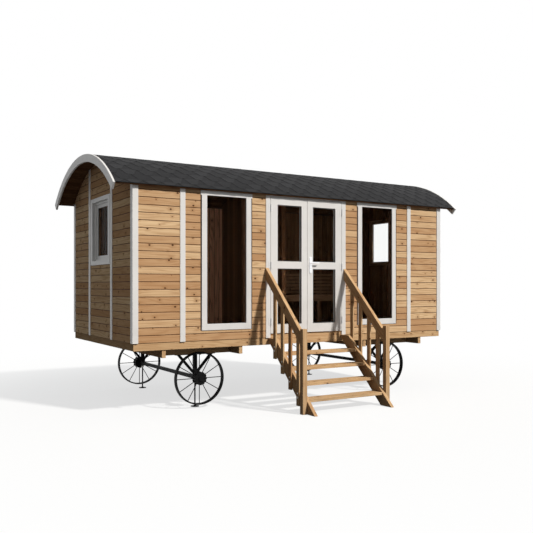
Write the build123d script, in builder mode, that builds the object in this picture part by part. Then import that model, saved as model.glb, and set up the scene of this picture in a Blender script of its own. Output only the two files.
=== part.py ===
"""A timber sauna wagon: a boarded room under a barrel roof, on two braced steel axle frames.

The frame has its origin on the ground under the middle of the whole outline. X runs along the wagon,
the door side faces -Y, and Z is up. All sizes are in millimetres.
"""

from math import asin, atan2, cos, pi, sin, sqrt
import os

from build123d import *

# Body
body_length = 5376
body_width = 2700
wall_thickness = 90
floor_line = 940
floor_thickness = 42
sill_height = 98
sill_thickness = 70
joist_width = 45
joist_spacing = 550

# Barrel roof
crown_height = 2600
eave_height = 2061
eave_overhang = 78
gable_overhang = 300
covering_thickness = 10
deck_thickness = 25
bargeboard_width = 110
bargeboard_thickness = 28
bargeboard_proud = 5
bargeboard_tail = 27

# Trim boards on the cladding
trim_thickness = 18
trim_roof_gap = 6
corner_board_width = 80
batten_width = 76
batten_from_corner = 665
gable_batten_spacing = 1020

# Tall fixed front windows
front_pane_width = 610
front_pane_bottom = 227
front_casing_side = 80
front_casing_head = 81
front_casing_sill = 86
casing_ear = 18
glazing_lap = 10
glazing_clearance = 2
glazing_thickness = 24

# Gable windows
gable_window_width = 905
gable_window_bottom = 1051
gable_window_top = 2037
gable_casing_side = 80
gable_casing_head = 50
gable_frame_face = 38
gable_frame_setback = 28
gable_sash_face = 50
gable_sash_thickness = 40
gable_sash_setback = 18
gable_pane_thickness = 20

# Double door
door_clear_width = 1275
door_bottom = 62
door_gap = 5
meeting_gap = 5
meeting_bevel = 4
door_casing_width = 74
door_jamb_thickness = 35
door_head_face = 33
door_stop = 12
leaf_thickness = 44
hinge_stile_width = 117
lock_stile_width = 100
bottom_rail_height = 130
middle_rail_height = 107
middle_rail_bottom = 934
top_rail_height = 106
leaf_pane_thickness = 10
leaf_pane_setback = 24
threshold_setback = 4

# Door fittings
hinge_height = 100
hinge_from_bottom = 168
hinge_middle_rise = 978
hinge_from_top = 157
hinge_barrel_radius = 7
hinge_pin_radius = 3
hinge_plate_width = 24
hinge_plate_thickness = 2.5
hinge_plate_gap = 2
hinge_tab_wall = 1
knuckle_count = 2
knuckle_gap = 1
pin_clearance = 0.08
lock_plate_width = 46
lock_plate_height = 238
lock_plate_thickness = 8
lock_plate_bottom = 875
lock_backset = 56
lever_level = 1028
lever_length = 122
lever_height = 18
lever_thickness = 9
lever_neck_radius = 8
lever_reach = 46
lever_boss_radius = 12
lever_boss_length = 12
spindle_radius = 4
spindle_hole_radius = 13
keyhole_level = 945
keyhole_radius = 5
keyhole_slot = 14

# Stairs
riser_count = 5
going = 194
top_nosing = 397
stair_inner_width = 1240
stringer_thickness = 50
stringer_width = 160
tread_depth = 215
tread_thickness = 38
newel_size = 70
newel_front = 1000
newel_height = 1120
rail_thickness = 52
rail_width = 120
rail_start_height = 1005
baluster_thickness = 25
baluster_width = 68
baluster_first = 216
baluster_spacing = 197
baluster_count = 4
baluster_tail = 45

# Timber bearers over the axles
axle_from_end = 1022
bearer_width = 55
bearer_height = 107
bearer_setback = 15
inner_bearer_from_end = 1582
outer_bearer_from_end = 427
bearer_rail_inset = 330

# Steel running gear
wheel_radius = 365
wheel_clearance = 45
rim_thickness = 20
rim_width = 60
spoke_count = 12
spoke_radius = 6
spoke_sides = 8
hub_radius = 80
hub_flange_radius = 92
hub_flange_thickness = 12
hub_length = 104
hub_scallops = 12
hub_scallop_radius = 11
scallop_sides = 6
wheel_inset = 185
stub_radius = 16
stub_clearance = 0.08
hub_cap_radius = 34
hub_cap_thickness = 10
running_gap = 5
stub_collar_radius = 26
axle_post_size = 50
axle_post_tail = 40
axle_tube_size = 46
brace_size = 32
brace_reach = 270
brace_rise = 30
axle_plate_thickness = 8
axle_plate_overlap = 30
jack_radius = 11
jack_foot_radius = 60
jack_foot_thickness = 8
jack_nut_radius = 20
jack_nut_sides = 6
jack_nut_height = 30

# Inside, as far as the windows show it
partition_offset = 5
partition_thickness = 60
partition_from_front = 560
partition_post_size = 70
bench_height = 540
bench_depth = 520
bench_slat_count = 5
bench_slat_thickness = 28
bench_slat_gap = 18
bench_front_height = 95
bench_board_thickness = 26
bench_leg_size = 70
backrest_slat_count = 6
backrest_slat_height = 46
backrest_slat_gap = 20
backrest_slat_thickness = 20
backrest_batten_thickness = 24
backrest_batten_width = 60
backrest_batten_spacing = 1150
backrest_lift = 20
backrest_side_gap = 120
backrest_end_gap = 183

# Places worked out from the sizes above
half_length = body_length / 2
half_width = body_width / 2
wall_end = half_length - wall_thickness
roof_half_width = half_width + eave_overhang
roof_rise = crown_height - eave_height
roof_radius = (roof_half_width**2 + roof_rise**2) / (2 * roof_rise)
roof_centre = floor_line + crown_height - roof_radius
eave_angle = asin(roof_half_width / roof_radius)
bargeboard_radius = roof_radius + bargeboard_proud
bargeboard_angle = eave_angle + bargeboard_tail / bargeboard_radius
deck_radius = roof_radius - covering_thickness
ceiling_radius = deck_radius - deck_thickness
roof_half_length = half_length + gable_overhang

slope = (floor_line / riser_count) / going
slope_angle = atan2(slope, 1)
riser = floor_line / riser_count
stringer_drop = stringer_width / cos(slope_angle)
rail_drop = rail_width / cos(slope_angle)
stair_toe = top_nosing + (floor_line - riser) / slope

# The wall's outer face on the door side, set so that the outline's middle is at Y = 0
front = (stair_toe - body_width - (bargeboard_radius * sin(bargeboard_angle) - half_width)) / 2
rear = front + body_width
middle = front + half_width
inner_front = front + wall_thickness
inner_rear = rear - wall_thickness
trim_front = front - trim_thickness
sill_bottom = floor_line - sill_height
bearer_bottom = sill_bottom - bearer_height
floor_top = floor_line + floor_thickness

# Trim boards, casings and the door end at one level, just under the roof where it passes over them
trim_low = floor_line
trim_high = roof_centre + sqrt(ceiling_radius**2 - (half_width + trim_thickness) ** 2) - trim_roof_gap

wheel_level = wheel_radius + wheel_clearance
axle_x = half_length - axle_from_end

door_half = door_clear_width / 2
door_opening_half = door_half + door_jamb_thickness
door_leaf_width = (door_clear_width - 2 * door_gap - meeting_gap) / 2
door_clear_high = trim_high - door_head_face
leaf_low = floor_line + door_bottom
leaf_high = door_clear_high - door_gap
door_leaf_height = leaf_high - leaf_low
door_clear_low = leaf_low - door_gap
hinge_levels = (hinge_from_bottom, hinge_middle_rise, door_leaf_height - hinge_from_top)
leaf_front = trim_front
leaf_back = leaf_front + leaf_thickness
hinge_y = leaf_front - hinge_barrel_radius - pin_clearance
hinge_x = door_half - door_gap / 2
lock_x = meeting_gap / 2 + lock_backset

# Each tall window stands in the middle between the door's casing and the batten
batten_x = half_length + trim_thickness - batten_from_corner - batten_width / 2
front_window_centre = (batten_x - batten_width / 2 + door_half + door_casing_width) / 2
pane_low = floor_line + front_pane_bottom
pane_high = trim_high - front_casing_head


def centre(span):
    """The middle of a (low, high) pair."""
    return (span[0] + span[1]) / 2


def timber(x, y, z, mode=Mode.ADD):
    """A squared timber that fills the (low, high) spans along the three axes."""
    with Locations((centre(x), centre(y), centre(z))):
        Box(x[1] - x[0], y[1] - y[0], z[1] - z[0], mode=mode)


def spread(low, high, limit):
    """Evenly spaced places from low to high, no further apart than limit."""
    bays = max(1, int((high - low) / limit + 1))
    return [low + (high - low) * number / bays for number in range(bays + 1)]


def under_roof(radius=ceiling_radius):
    """Cut away what lies above the roof's cylinder of this radius."""
    high = roof_centre + 2 * roof_radius
    with BuildSketch(Plane.YZ.offset(-2 * half_length)) as above:
        with Locations((middle, roof_centre)):
            Rectangle(4 * roof_radius, 2 * (high - roof_centre))
            Circle(radius, mode=Mode.SUBTRACT)
        with Locations((middle, roof_centre - roof_radius)):
            Rectangle(4 * roof_radius, 2 * roof_radius, mode=Mode.SUBTRACT)
    extrude(above.sketch, amount=4 * half_length, mode=Mode.SUBTRACT)


def arch_band(outer, inner, half_angle):
    """The curved band between two radii, to the same angle either side of the crown."""
    reach = 2 * roof_radius
    with Locations((middle, roof_centre)):
        Circle(outer)
        Circle(inner, mode=Mode.SUBTRACT)
    with BuildLine(mode=Mode.PRIVATE) as wedge:
        Polyline(
            (middle, roof_centre),
            (middle - reach * sin(half_angle), roof_centre + reach * cos(half_angle)),
            (middle, roof_centre + 2 * reach),
            (middle + reach * sin(half_angle), roof_centre + reach * cos(half_angle)),
            close=True,
        )
    make_face(wedge.line, mode=Mode.INTERSECT)


def save(builder, name):
    """Name the finished piece and write it to its own file."""
    builder.part.label = name
    export_step(builder.part, f"parts/{name}.step")


os.makedirs("parts", exist_ok=True)

# Base: sills, joists, floor, and the bearers that stand on the axle frames

with BuildPart() as long_sills:
    for y in ((front, front + sill_thickness), (rear - sill_thickness, rear)):
        timber((-half_length, half_length), y, (sill_bottom, floor_line))
save(long_sills, "long_sills")

with BuildPart() as end_sills:
    for side in (-1, 1):
        inner = side * (half_length - sill_thickness)
        timber(
            sorted((inner, side * half_length)),
            (front + sill_thickness, rear - sill_thickness),
            (sill_bottom, floor_line),
        )
save(end_sills, "end_sills")

with BuildPart() as floor_joists:
    reach = half_length - sill_thickness
    for x in spread(-reach, reach, joist_spacing)[1:-1]:
        timber(
            (x - joist_width / 2, x + joist_width / 2),
            (front + sill_thickness, rear - sill_thickness),
            (sill_bottom, floor_line),
        )
save(floor_joists, "floor_joists")

with BuildPart() as floor:
    timber((-wall_end, wall_end), (inner_front, inner_rear), (floor_line, floor_top))
save(floor, "floor")

bearer_places = [
    side * (half_length - inset)
    for side in (-1, 1)
    for inset in (outer_bearer_from_end, inner_bearer_from_end)
]
with BuildPart() as cross_bearers:
    for x in bearer_places:
        timber(
            (x - bearer_width / 2, x + bearer_width / 2),
            (front + bearer_setback, rear - bearer_setback),
            (bearer_bottom, sill_bottom),
        )
save(cross_bearers, "cross_bearers")

bearer_rail_places = (front + bearer_rail_inset, rear - bearer_rail_inset)
with BuildPart() as bearer_rails:
    for side in (-1, 1):
        outer = side * (half_length - outer_bearer_from_end - bearer_width / 2)
        inner = side * (half_length - inner_bearer_from_end + bearer_width / 2)
        for y in bearer_rail_places:
            timber(
                sorted((inner, outer)),
                (y - bearer_width / 2, y + bearer_width / 2),
                (bearer_bottom, sill_bottom),
            )
save(bearer_rails, "bearer_rails")

# Running gear: each axle frame is one welding of plates, posts, braces, tube and stub axles


def axle_frame(x):
    """The welded frame at one axle: both plates, posts and pairs of braces, and the tube between."""
    post_bottom = wheel_level - axle_post_tail
    plate_bottom = bearer_bottom - axle_plate_thickness
    plate_reach = brace_reach + axle_plate_overlap
    with BuildPart() as frame:
        for y, outward in zip(bearer_rail_places, (-1, 1)):
            timber(
                (x - plate_reach, x + plate_reach),
                (y - axle_post_size / 2, y + axle_post_size / 2),
                (plate_bottom, bearer_bottom),
            )
            timber(
                (x - axle_post_size / 2, x + axle_post_size / 2),
                (y - axle_post_size / 2, y + axle_post_size / 2),
                (post_bottom, plate_bottom),
            )
            with BuildSketch(Plane.XZ.offset(brace_size / 2 - y)):
                for lean in (-1, 1):
                    with BuildLine():
                        Polyline(
                            (x, wheel_level + brace_rise - brace_size / 2),
                            (x + lean * brace_reach, plate_bottom),
                            (x + lean * (brace_reach - brace_size * sqrt(2)), plate_bottom),
                            (x, wheel_level + brace_rise + brace_size),
                            close=True,
                        )
                    make_face()
            extrude(amount=-brace_size)
            stub_end = (front + wheel_inset if outward < 0 else rear - wheel_inset) + outward * (
                hub_length / 2 + running_gap
            )
            with BuildSketch(Plane.XZ.offset(-y)):
                with Locations((x, wheel_level)):
                    Circle(stub_radius)
            extrude(amount=-outward * abs(stub_end - y))
            with BuildSketch(Plane.XZ.offset(-stub_end)):
                with Locations((x, wheel_level)):
                    Circle(hub_cap_radius)
            extrude(amount=-outward * hub_cap_thickness)
            with BuildSketch(Plane.XZ.offset(-y)):
                with Locations((x, wheel_level)):
                    Circle(stub_collar_radius)
            collar_end = abs(stub_end - y) - hub_length - 2 * running_gap
            extrude(amount=-outward * collar_end)
        timber(
            (x - axle_tube_size / 2, x + axle_tube_size / 2),
            bearer_rail_places,
            (wheel_level - axle_tube_size / 2, wheel_level + axle_tube_size / 2),
        )
    return frame


for side, name in ((-1, "left_axle_frame"), (1, "right_axle_frame")):
    save(axle_frame(side * axle_x), name)

with BuildPart() as jack_feet:
    jack_top = wheel_level - axle_post_tail
    for side in (-1, 1):
        for y in bearer_rail_places:
            with Locations((side * axle_x, y, 0)):
                Cylinder(
                    jack_foot_radius,
                    jack_foot_thickness,
                    align=(Align.CENTER, Align.CENTER, Align.MIN),
                )
                Cylinder(jack_radius, jack_top, align=(Align.CENTER, Align.CENTER, Align.MIN))
            with BuildSketch(Plane.XY.offset(jack_top)):
                with Locations((side * axle_x, y)):
                    RegularPolygon(jack_nut_radius, jack_nut_sides)
            extrude(amount=-jack_nut_height)
save(jack_feet, "jack_feet")


def wheel(x, y):
    """The flat rim of a wheel about the Y axis, and its hub drum with scalloped flanges."""
    half_hub = hub_length / 2
    with BuildPart() as turned:
        with BuildSketch(Plane.XY):
            with BuildLine():
                Polyline(
                    (stub_radius + stub_clearance, -half_hub),
                    (hub_flange_radius, -half_hub),
                    (hub_flange_radius, -half_hub + hub_flange_thickness),
                    (hub_radius, -half_hub + hub_flange_thickness),
                    (hub_radius, half_hub - hub_flange_thickness),
                    (hub_flange_radius, half_hub - hub_flange_thickness),
                    (hub_flange_radius, half_hub),
                    (stub_radius + stub_clearance, half_hub),
                    close=True,
                )
            make_face()
            with Locations((wheel_radius - rim_thickness / 2, 0)):
                Rectangle(rim_thickness, rim_width)
        revolve(axis=Axis.Y)
        with BuildSketch(Plane.XZ.offset(-half_hub)):
            with PolarLocations(hub_flange_radius, hub_scallops, start_angle=180 / hub_scallops):
                RegularPolygon(hub_scallop_radius, scallop_sides)
        extrude(amount=hub_length, mode=Mode.SUBTRACT)
    with BuildPart() as placed:
        with Locations((x, y, wheel_level)):
            add(turned.part)
    return placed


def spokes(x, y):
    """The bar spokes of a wheel, each from the hub drum to the inside of the rim."""
    rim_inside = wheel_radius - rim_thickness
    spoke_end = sqrt(rim_inside**2 - spoke_radius**2)
    with BuildPart() as fan:
        for number in range(spoke_count):
            turn = 2 * pi * number / spoke_count
            outward = (cos(turn), 0, sin(turn))
            foot = (x + hub_radius * outward[0], y, wheel_level + hub_radius * outward[2])
            with BuildSketch(Plane(origin=foot, z_dir=outward)):
                RegularPolygon(spoke_radius, spoke_sides)
            extrude(amount=spoke_end - hub_radius)
    return fan


wheel_rows = (("front", front + wheel_inset), ("rear", rear - wheel_inset))
for row, y in wheel_rows:
    for side, end in ((-1, "left"), (1, "right")):
        save(wheel(side * axle_x, y), f"{row}_{end}_wheel")
        save(spokes(side * axle_x, y), f"{row}_{end}_spokes")

# Walls, each cut to the underside of the barrel roof

wall_top = floor_line + crown_height
opening_low = pane_low - glazing_lap
opening_high = pane_high + glazing_lap
opening_half = front_pane_width / 2 + glazing_lap
door_head = door_clear_high + door_jamb_thickness / 2

for side, name in ((-1, "front_wall_left"), (1, "front_wall_right")):
    with BuildPart() as front_wall:
        timber(
            sorted((side * half_length, side * door_opening_half)),
            (front, inner_front),
            (floor_line, wall_top),
        )
        window_x = side * front_window_centre
        timber(
            (window_x - opening_half, window_x + opening_half),
            (front, inner_front),
            (opening_low, opening_high),
            mode=Mode.SUBTRACT,
        )
        under_roof()
    save(front_wall, name)

with BuildPart() as door_lintel:
    timber((-door_opening_half, door_opening_half), (front, inner_front), (door_head, wall_top))
    under_roof()
save(door_lintel, "door_lintel")

with BuildPart() as threshold:
    timber(
        (-door_opening_half, door_opening_half),
        (front + threshold_setback, inner_front),
        (floor_line, door_clear_low),
    )
save(threshold, "threshold")

with BuildPart() as rear_wall:
    timber((-half_length, half_length), (inner_rear, rear), (floor_line, wall_top))
    under_roof()
save(rear_wall, "rear_wall")

gable_opening_half = gable_window_width / 2 - gable_casing_side
gable_opening_low = floor_line + gable_window_bottom + gable_casing_head
gable_opening_high = floor_line + gable_window_top - gable_casing_head
for side, name in ((-1, "left_gable_wall"), (1, "right_gable_wall")):
    with BuildPart() as gable_wall:
        timber(
            sorted((side * wall_end, side * half_length)),
            (inner_front, inner_rear),
            (floor_line, wall_top),
        )
        timber(
            sorted((side * wall_end, side * half_length)),
            (middle - gable_opening_half, middle + gable_opening_half),
            (gable_opening_low, gable_opening_high),
            mode=Mode.SUBTRACT,
        )
        under_roof()
    save(gable_wall, name)

# Roof: curved board deck, covering and the boards that close its ends

with BuildPart() as roof_deck:
    with BuildSketch(Plane.YZ.offset(-roof_half_length + bargeboard_thickness)):
        arch_band(deck_radius, ceiling_radius, eave_angle)
    extrude(amount=2 * (roof_half_length - bargeboard_thickness))
save(roof_deck, "roof_deck")

with BuildPart() as roof_covering:
    with BuildSketch(Plane.YZ.offset(-roof_half_length + bargeboard_thickness)):
        arch_band(roof_radius, deck_radius, eave_angle)
    extrude(amount=2 * (roof_half_length - bargeboard_thickness))
save(roof_covering, "roof_covering")

for side, name in ((-1, "left_bargeboard"), (1, "right_bargeboard")):
    with BuildPart() as bargeboard:
        with BuildSketch(Plane.YZ.offset(side * (roof_half_length - bargeboard_thickness))):
            arch_band(bargeboard_radius, bargeboard_radius - bargeboard_width, bargeboard_angle)
        extrude(amount=side * bargeboard_thickness)
    save(bargeboard, name)

# Trim boards that stand on the cladding

with BuildPart() as corner_boards:
    for x_side in (-1, 1):
        for y, outward in ((front, -1), (rear, 1)):
            x = x_side * half_length
            timber(
                sorted((x - x_side * (corner_board_width - trim_thickness), x + x_side * trim_thickness)),
                sorted((y, y + outward * trim_thickness)),
                (trim_low, trim_high),
            )
            timber(
                sorted((x, x + x_side * trim_thickness)),
                sorted((y, y - outward * (corner_board_width - trim_thickness))),
                (trim_low, trim_high),
            )
save(corner_boards, "corner_boards")

with BuildPart() as wall_battens:
    for side in (-1, 1):
        for y, outward in ((front, -1), (rear, 1)):
            timber(
                (side * batten_x - batten_width / 2, side * batten_x + batten_width / 2),
                sorted((y, y + outward * trim_thickness)),
                (trim_low, trim_high),
            )
save(wall_battens, "wall_battens")

with BuildPart() as gable_battens:
    for side in (-1, 1):
        for place in (-1, 1):
            y = middle + place * gable_batten_spacing / 2
            timber(
                sorted((side * half_length, side * (half_length + trim_thickness))),
                (y - batten_width / 2, y + batten_width / 2),
                (trim_low, wall_top),
            )
    under_roof()
save(gable_battens, "gable_battens")

# Tall fixed front windows: a casing planted round the opening, and a pane behind its lip

with BuildPart() as front_window_casings:
    for side in (-1, 1):
        x = side * front_window_centre
        half = front_pane_width / 2
        timber(
            (x - half - front_casing_side, x + half + front_casing_side),
            (trim_front, front),
            (pane_low - front_casing_sill, pane_high),
        )
        timber(
            (
                x - half - front_casing_side - casing_ear,
                x + half + front_casing_side + casing_ear,
            ),
            (trim_front, front),
            (pane_high, trim_high),
        )
        timber((x - half, x + half), (trim_front, front), (pane_low, pane_high), mode=Mode.SUBTRACT)
save(front_window_casings, "front_window_casings")

with BuildPart() as front_window_panes:
    half = opening_half - glazing_clearance
    for side in (-1, 1):
        x = side * front_window_centre
        timber(
            (x - half, x + half),
            (front, front + glazing_thickness),
            (opening_low + glazing_clearance, opening_high - glazing_clearance),
        )
save(front_window_panes, "front_window_panes")

# Gable windows: casing and lining in one stepped frame, a sash seated in it, and its pane

frame_half = gable_opening_half - gable_frame_face
frame_low = gable_opening_low + gable_frame_face
frame_high = gable_opening_high - gable_frame_face
sash_half = frame_half - gable_sash_face
sash_low = frame_low + gable_sash_face
sash_high = frame_high - gable_sash_face


def gable_layer(side, depth_from, depth_to, half, low, high, mode=Mode.ADD):
    """A block in a gable wall between two depths measured inwards from the wall's outer face."""
    timber(
        sorted((side * (half_length - depth_from), side * (half_length - depth_to))),
        (middle - half, middle + half),
        (low, high),
        mode=mode,
    )


sash_depth = gable_frame_setback + gable_sash_setback
with BuildPart() as gable_window_frames:
    for side in (-1, 1):
        outer_half = gable_window_width / 2
        outer_low = floor_line + gable_window_bottom
        outer_high = floor_line + gable_window_top
        gable_layer(side, -trim_thickness, 0, outer_half, outer_low, outer_high)
        gable_layer(
            side, 0, wall_thickness, gable_opening_half, gable_opening_low, gable_opening_high
        )
        gable_layer(
            side,
            -trim_thickness,
            gable_frame_setback,
            gable_opening_half - glazing_lap,
            gable_opening_low + glazing_lap,
            gable_opening_high - glazing_lap,
            mode=Mode.SUBTRACT,
        )
        gable_layer(side, 0, wall_thickness, frame_half, frame_low, frame_high, mode=Mode.SUBTRACT)
save(gable_window_frames, "gable_window_frames")

with BuildPart() as gable_sashes:
    for side in (-1, 1):
        depth_to = sash_depth + gable_sash_thickness
        gable_layer(side, sash_depth, depth_to, frame_half, frame_low, frame_high)
        gable_layer(
            side, sash_depth, depth_to, sash_half, sash_low, sash_high, mode=Mode.SUBTRACT
        )
save(gable_sashes, "gable_sashes")

with BuildPart() as gable_panes:
    for side in (-1, 1):
        pane_depth = sash_depth + (gable_sash_thickness - gable_pane_thickness) / 2
        gable_layer(
            side, pane_depth, pane_depth + gable_pane_thickness, sash_half, sash_low, sash_high
        )
save(gable_panes, "gable_panes")

# Double door: the frame stands in the doorway and carries a stop that the leaves close towards

with BuildPart() as door_frame:
    casing_half = door_half + door_casing_width
    timber((-casing_half, casing_half), (trim_front, front), (floor_line, trim_high))
    timber((-door_opening_half, door_opening_half), (front, inner_front), (door_clear_low, door_head))
    timber(
        (-door_half, door_half),
        (trim_front, leaf_back + door_gap),
        (floor_line, door_clear_high),
        mode=Mode.SUBTRACT,
    )
    timber(
        (-door_half + door_stop, door_half - door_stop),
        (leaf_back + door_gap, inner_front),
        (floor_line, door_clear_high - door_stop),
        mode=Mode.SUBTRACT,
    )
save(door_frame, "door_frame")

leaf_sides = ((-1, "left"), (1, "right"))


def leaf_span(side, from_hinge, to_hinge):
    """A span along X given by two distances from a leaf's hinge edge."""
    edge = side * (door_half - door_gap)
    return sorted((edge - side * from_hinge, edge - side * to_hinge))


pane_to = door_leaf_width - lock_stile_width
leaf_pane_spans = (
    (leaf_low + bottom_rail_height, leaf_low + middle_rail_bottom),
    (leaf_low + middle_rail_bottom + middle_rail_height, leaf_high - top_rail_height),
)
for side, name in leaf_sides:
    with BuildPart() as leaf:
        edge = side * (door_half - door_gap)
        meeting = edge - side * door_leaf_width
        with BuildSketch(Plane.XY.offset(leaf_low)):
            with BuildLine():
                Polyline(
                    (edge, leaf_front),
                    (meeting, leaf_front),
                    (meeting + side * meeting_bevel, leaf_back),
                    (edge, leaf_back),
                    close=True,
                )
            make_face()
        extrude(amount=door_leaf_height)
        for low, high in leaf_pane_spans:
            timber(
                leaf_span(side, hinge_stile_width, pane_to),
                (leaf_front, leaf_back),
                (low, high),
                mode=Mode.SUBTRACT,
            )
        if side > 0:
            with BuildSketch(Plane.XZ.offset(-leaf_back)):
                with Locations((lock_x, leaf_low + lever_level)):
                    Circle(spindle_hole_radius)
            extrude(amount=leaf_thickness, mode=Mode.SUBTRACT)
    save(leaf, f"{name}_door_leaf")

    with BuildPart() as leaf_panes:
        for low, high in leaf_pane_spans:
            timber(
                leaf_span(side, hinge_stile_width, pane_to),
                (
                    leaf_front + leaf_pane_setback,
                    leaf_front + leaf_pane_setback + leaf_pane_thickness,
                ),
                (low, high),
            )
    save(leaf_panes, f"{name}_door_panes")

# Lift-off hinges: the lower knuckle with the pin is the frame's, and the upper one is the leaf's

knuckle_height = hinge_height / knuckle_count
plate_start = hinge_barrel_radius + hinge_plate_gap


def knuckle(x, low, high):
    """One barrel length on the hinge's axis."""
    with BuildSketch(Plane.XY.offset(low)) as barrel:
        with Locations((x, hinge_y)):
            Circle(hinge_barrel_radius)
    extrude(barrel.sketch, amount=high - low)


def hinge_plate(x, away, level, low, high):
    """A plate on the face beside the knuckle, with a tab from low to high that reaches back to it."""
    start = x + away * plate_start
    plate_y = (leaf_front - hinge_plate_thickness, leaf_front)
    timber(
        sorted((start, start + away * hinge_plate_width)), plate_y, (level, level + hinge_height)
    )
    tab_start = x + away * (hinge_pin_radius + hinge_tab_wall)
    timber(sorted((tab_start, start)), plate_y, (low, high))


with BuildPart() as frame_hinges:
    for side, name in leaf_sides:
        x = side * hinge_x
        for rise in hinge_levels:
            level = leaf_low + rise - hinge_height / 2
            high = level + knuckle_height
            knuckle(x, level, high)
            hinge_plate(x, side, level, level, high)
            with BuildSketch(Plane.XY.offset(level)):
                with Locations((x, hinge_y)):
                    Circle(hinge_pin_radius)
            extrude(amount=hinge_height)
save(frame_hinges, "frame_hinges")

for side, name in leaf_sides:
    with BuildPart() as leaf_hinges:
        x = side * hinge_x
        for rise in hinge_levels:
            level = leaf_low + rise - hinge_height / 2
            low = level + knuckle_height + knuckle_gap
            high = level + hinge_height
            knuckle(x, low, high)
            hinge_plate(x, -side, level, low, high)
            with BuildSketch(Plane.XY.offset(low)):
                with Locations((x, hinge_y)):
                    Circle(hinge_pin_radius + pin_clearance)
            extrude(amount=high - low, mode=Mode.SUBTRACT)
    save(leaf_hinges, f"{name}_door_hinges")

# Lock plates on both faces of the right leaf, and one lever either side on a shared spindle

lever_z = leaf_low + lever_level
plate_faces = ((leaf_front, -1), (leaf_back, 1))
with BuildPart() as lock_plates:
    for face, outward in plate_faces:
        with BuildSketch(Plane.XZ.offset(-face)):
            with Locations((lock_x, leaf_low + lock_plate_bottom + lock_plate_height / 2)):
                RectangleRounded(lock_plate_width, lock_plate_height, lock_plate_thickness)
            with Locations((lock_x, lever_z)):
                Circle(spindle_radius + pin_clearance, mode=Mode.SUBTRACT)
            with Locations((lock_x, leaf_low + keyhole_level)):
                Circle(keyhole_radius, mode=Mode.SUBTRACT)
                Rectangle(
                    keyhole_radius,
                    keyhole_slot,
                    align=(Align.CENTER, Align.MAX),
                    mode=Mode.SUBTRACT,
                )
        extrude(amount=-outward * lock_plate_thickness)
save(lock_plates, "lock_plates")

with BuildPart() as door_lever:
    with BuildSketch(Plane.XZ.offset(-leaf_back - lock_plate_thickness)):
        with Locations((lock_x, lever_z)):
            Circle(spindle_radius)
    extrude(amount=leaf_thickness + 2 * lock_plate_thickness)
    for face, outward in plate_faces:
        start = face + outward * (lock_plate_thickness + pin_clearance)
        neck_end = start + outward * (lever_reach - lever_thickness)
        with BuildSketch(Plane.XZ.offset(-start)):
            with Locations((lock_x, lever_z)):
                Circle(lever_boss_radius)
        extrude(amount=-outward * lever_boss_length)
        with BuildSketch(Plane.XZ.offset(-start)):
            with Locations((lock_x, lever_z)):
                Circle(lever_neck_radius)
        extrude(amount=-outward * (lever_reach - lever_thickness))
        with BuildSketch(Plane.XZ.offset(-neck_end)):
            with Locations((lock_x + lever_length / 2, lever_z)):
                SlotCenterToCenter(lever_length, lever_height)
        extrude(amount=-outward * lever_thickness)
        with BuildSketch(Plane.XZ.offset(-face)):
            with Locations((lock_x, lever_z)):
                Circle(spindle_radius)
        extrude(amount=-outward * (lock_plate_thickness + lever_boss_length))
save(door_lever, "door_lever")

# Stairs: open treads between stringers that are cut level at the ground and at the sill's top

stair_half = stair_inner_width / 2
stringer_outer = stair_half + stringer_thickness
toe_y = front - stair_toe


def pitch_line(y, offset=0):
    """The height of the nosing line at a place y, moved down by offset."""
    return (y - toe_y) * slope - offset


with BuildPart() as stringers:
    for side in (-1, 1):
        with BuildSketch(Plane.YZ.offset(side * stair_half)):
            with BuildLine():
                Polyline(
                    (toe_y, 0),
                    (toe_y + floor_line / slope, floor_line),
                    (front, floor_line),
                    (front, pitch_line(front, stringer_drop)),
                    (toe_y + stringer_drop / slope, 0),
                    close=True,
                )
            make_face()
        extrude(amount=side * stringer_thickness)
save(stringers, "stringers")

with BuildPart() as treads:
    for number in range(1, riser_count):
        nosing = toe_y + number * riser / slope
        timber(
            (-stair_half, stair_half),
            (nosing, nosing + tread_depth),
            (number * riser - tread_thickness, number * riser),
        )
save(treads, "treads")

newel_y = front - newel_front
with BuildPart() as newels:
    for side in (-1, 1):
        timber(
            sorted((side * stringer_outer, side * (stringer_outer + newel_size))),
            (newel_y, newel_y + newel_size),
            (0, newel_height),
        )
save(newels, "newels")

rail_line = floor_line + rail_start_height - (trim_front - toe_y) * slope
with BuildPart() as handrails:
    for side in (-1, 1):
        with BuildSketch(Plane.YZ.offset(side * stringer_outer)):
            with BuildLine():
                rail_foot = newel_y + newel_size
                Polyline(
                    (rail_foot, pitch_line(rail_foot) + rail_line),
                    (trim_front, pitch_line(trim_front) + rail_line),
                    (trim_front, pitch_line(trim_front, rail_drop) + rail_line),
                    (rail_foot, pitch_line(rail_foot, rail_drop) + rail_line),
                    close=True,
                )
            make_face()
        extrude(amount=side * rail_thickness)
save(handrails, "handrails")

with BuildPart() as balusters:
    for side in (-1, 1):
        with BuildSketch(Plane.YZ.offset(side * stringer_outer)):
            for number in range(baluster_count):
                y = front - baluster_first - number * baluster_spacing
                near, far = y - baluster_width / 2, y + baluster_width / 2
                foot = pitch_line(y, stringer_drop) - baluster_tail
                with BuildLine():
                    Polyline(
                        (near, foot),
                        (near, pitch_line(near, rail_drop) + rail_line),
                        (far, pitch_line(far, rail_drop) + rail_line),
                        (far, foot),
                        close=True,
                    )
                make_face()
        extrude(amount=side * baluster_thickness)
save(balusters, "balusters")

# Inside: a partition that ends in a post, and a slatted bench with its backrest on the rear wall

partition_x = (-partition_offset - partition_thickness, -partition_offset)
partition_front = inner_front + partition_from_front
with BuildPart() as partition:
    timber(partition_x, (partition_front, inner_rear), (floor_top, wall_top))
    under_roof()
save(partition, "partition")

with BuildPart() as partition_post:
    x = centre(partition_x)
    timber(
        (x - partition_post_size / 2, x + partition_post_size / 2),
        (partition_front - partition_post_size, partition_front),
        (floor_top, wall_top),
    )
    under_roof()
save(partition_post, "partition_post")

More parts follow.
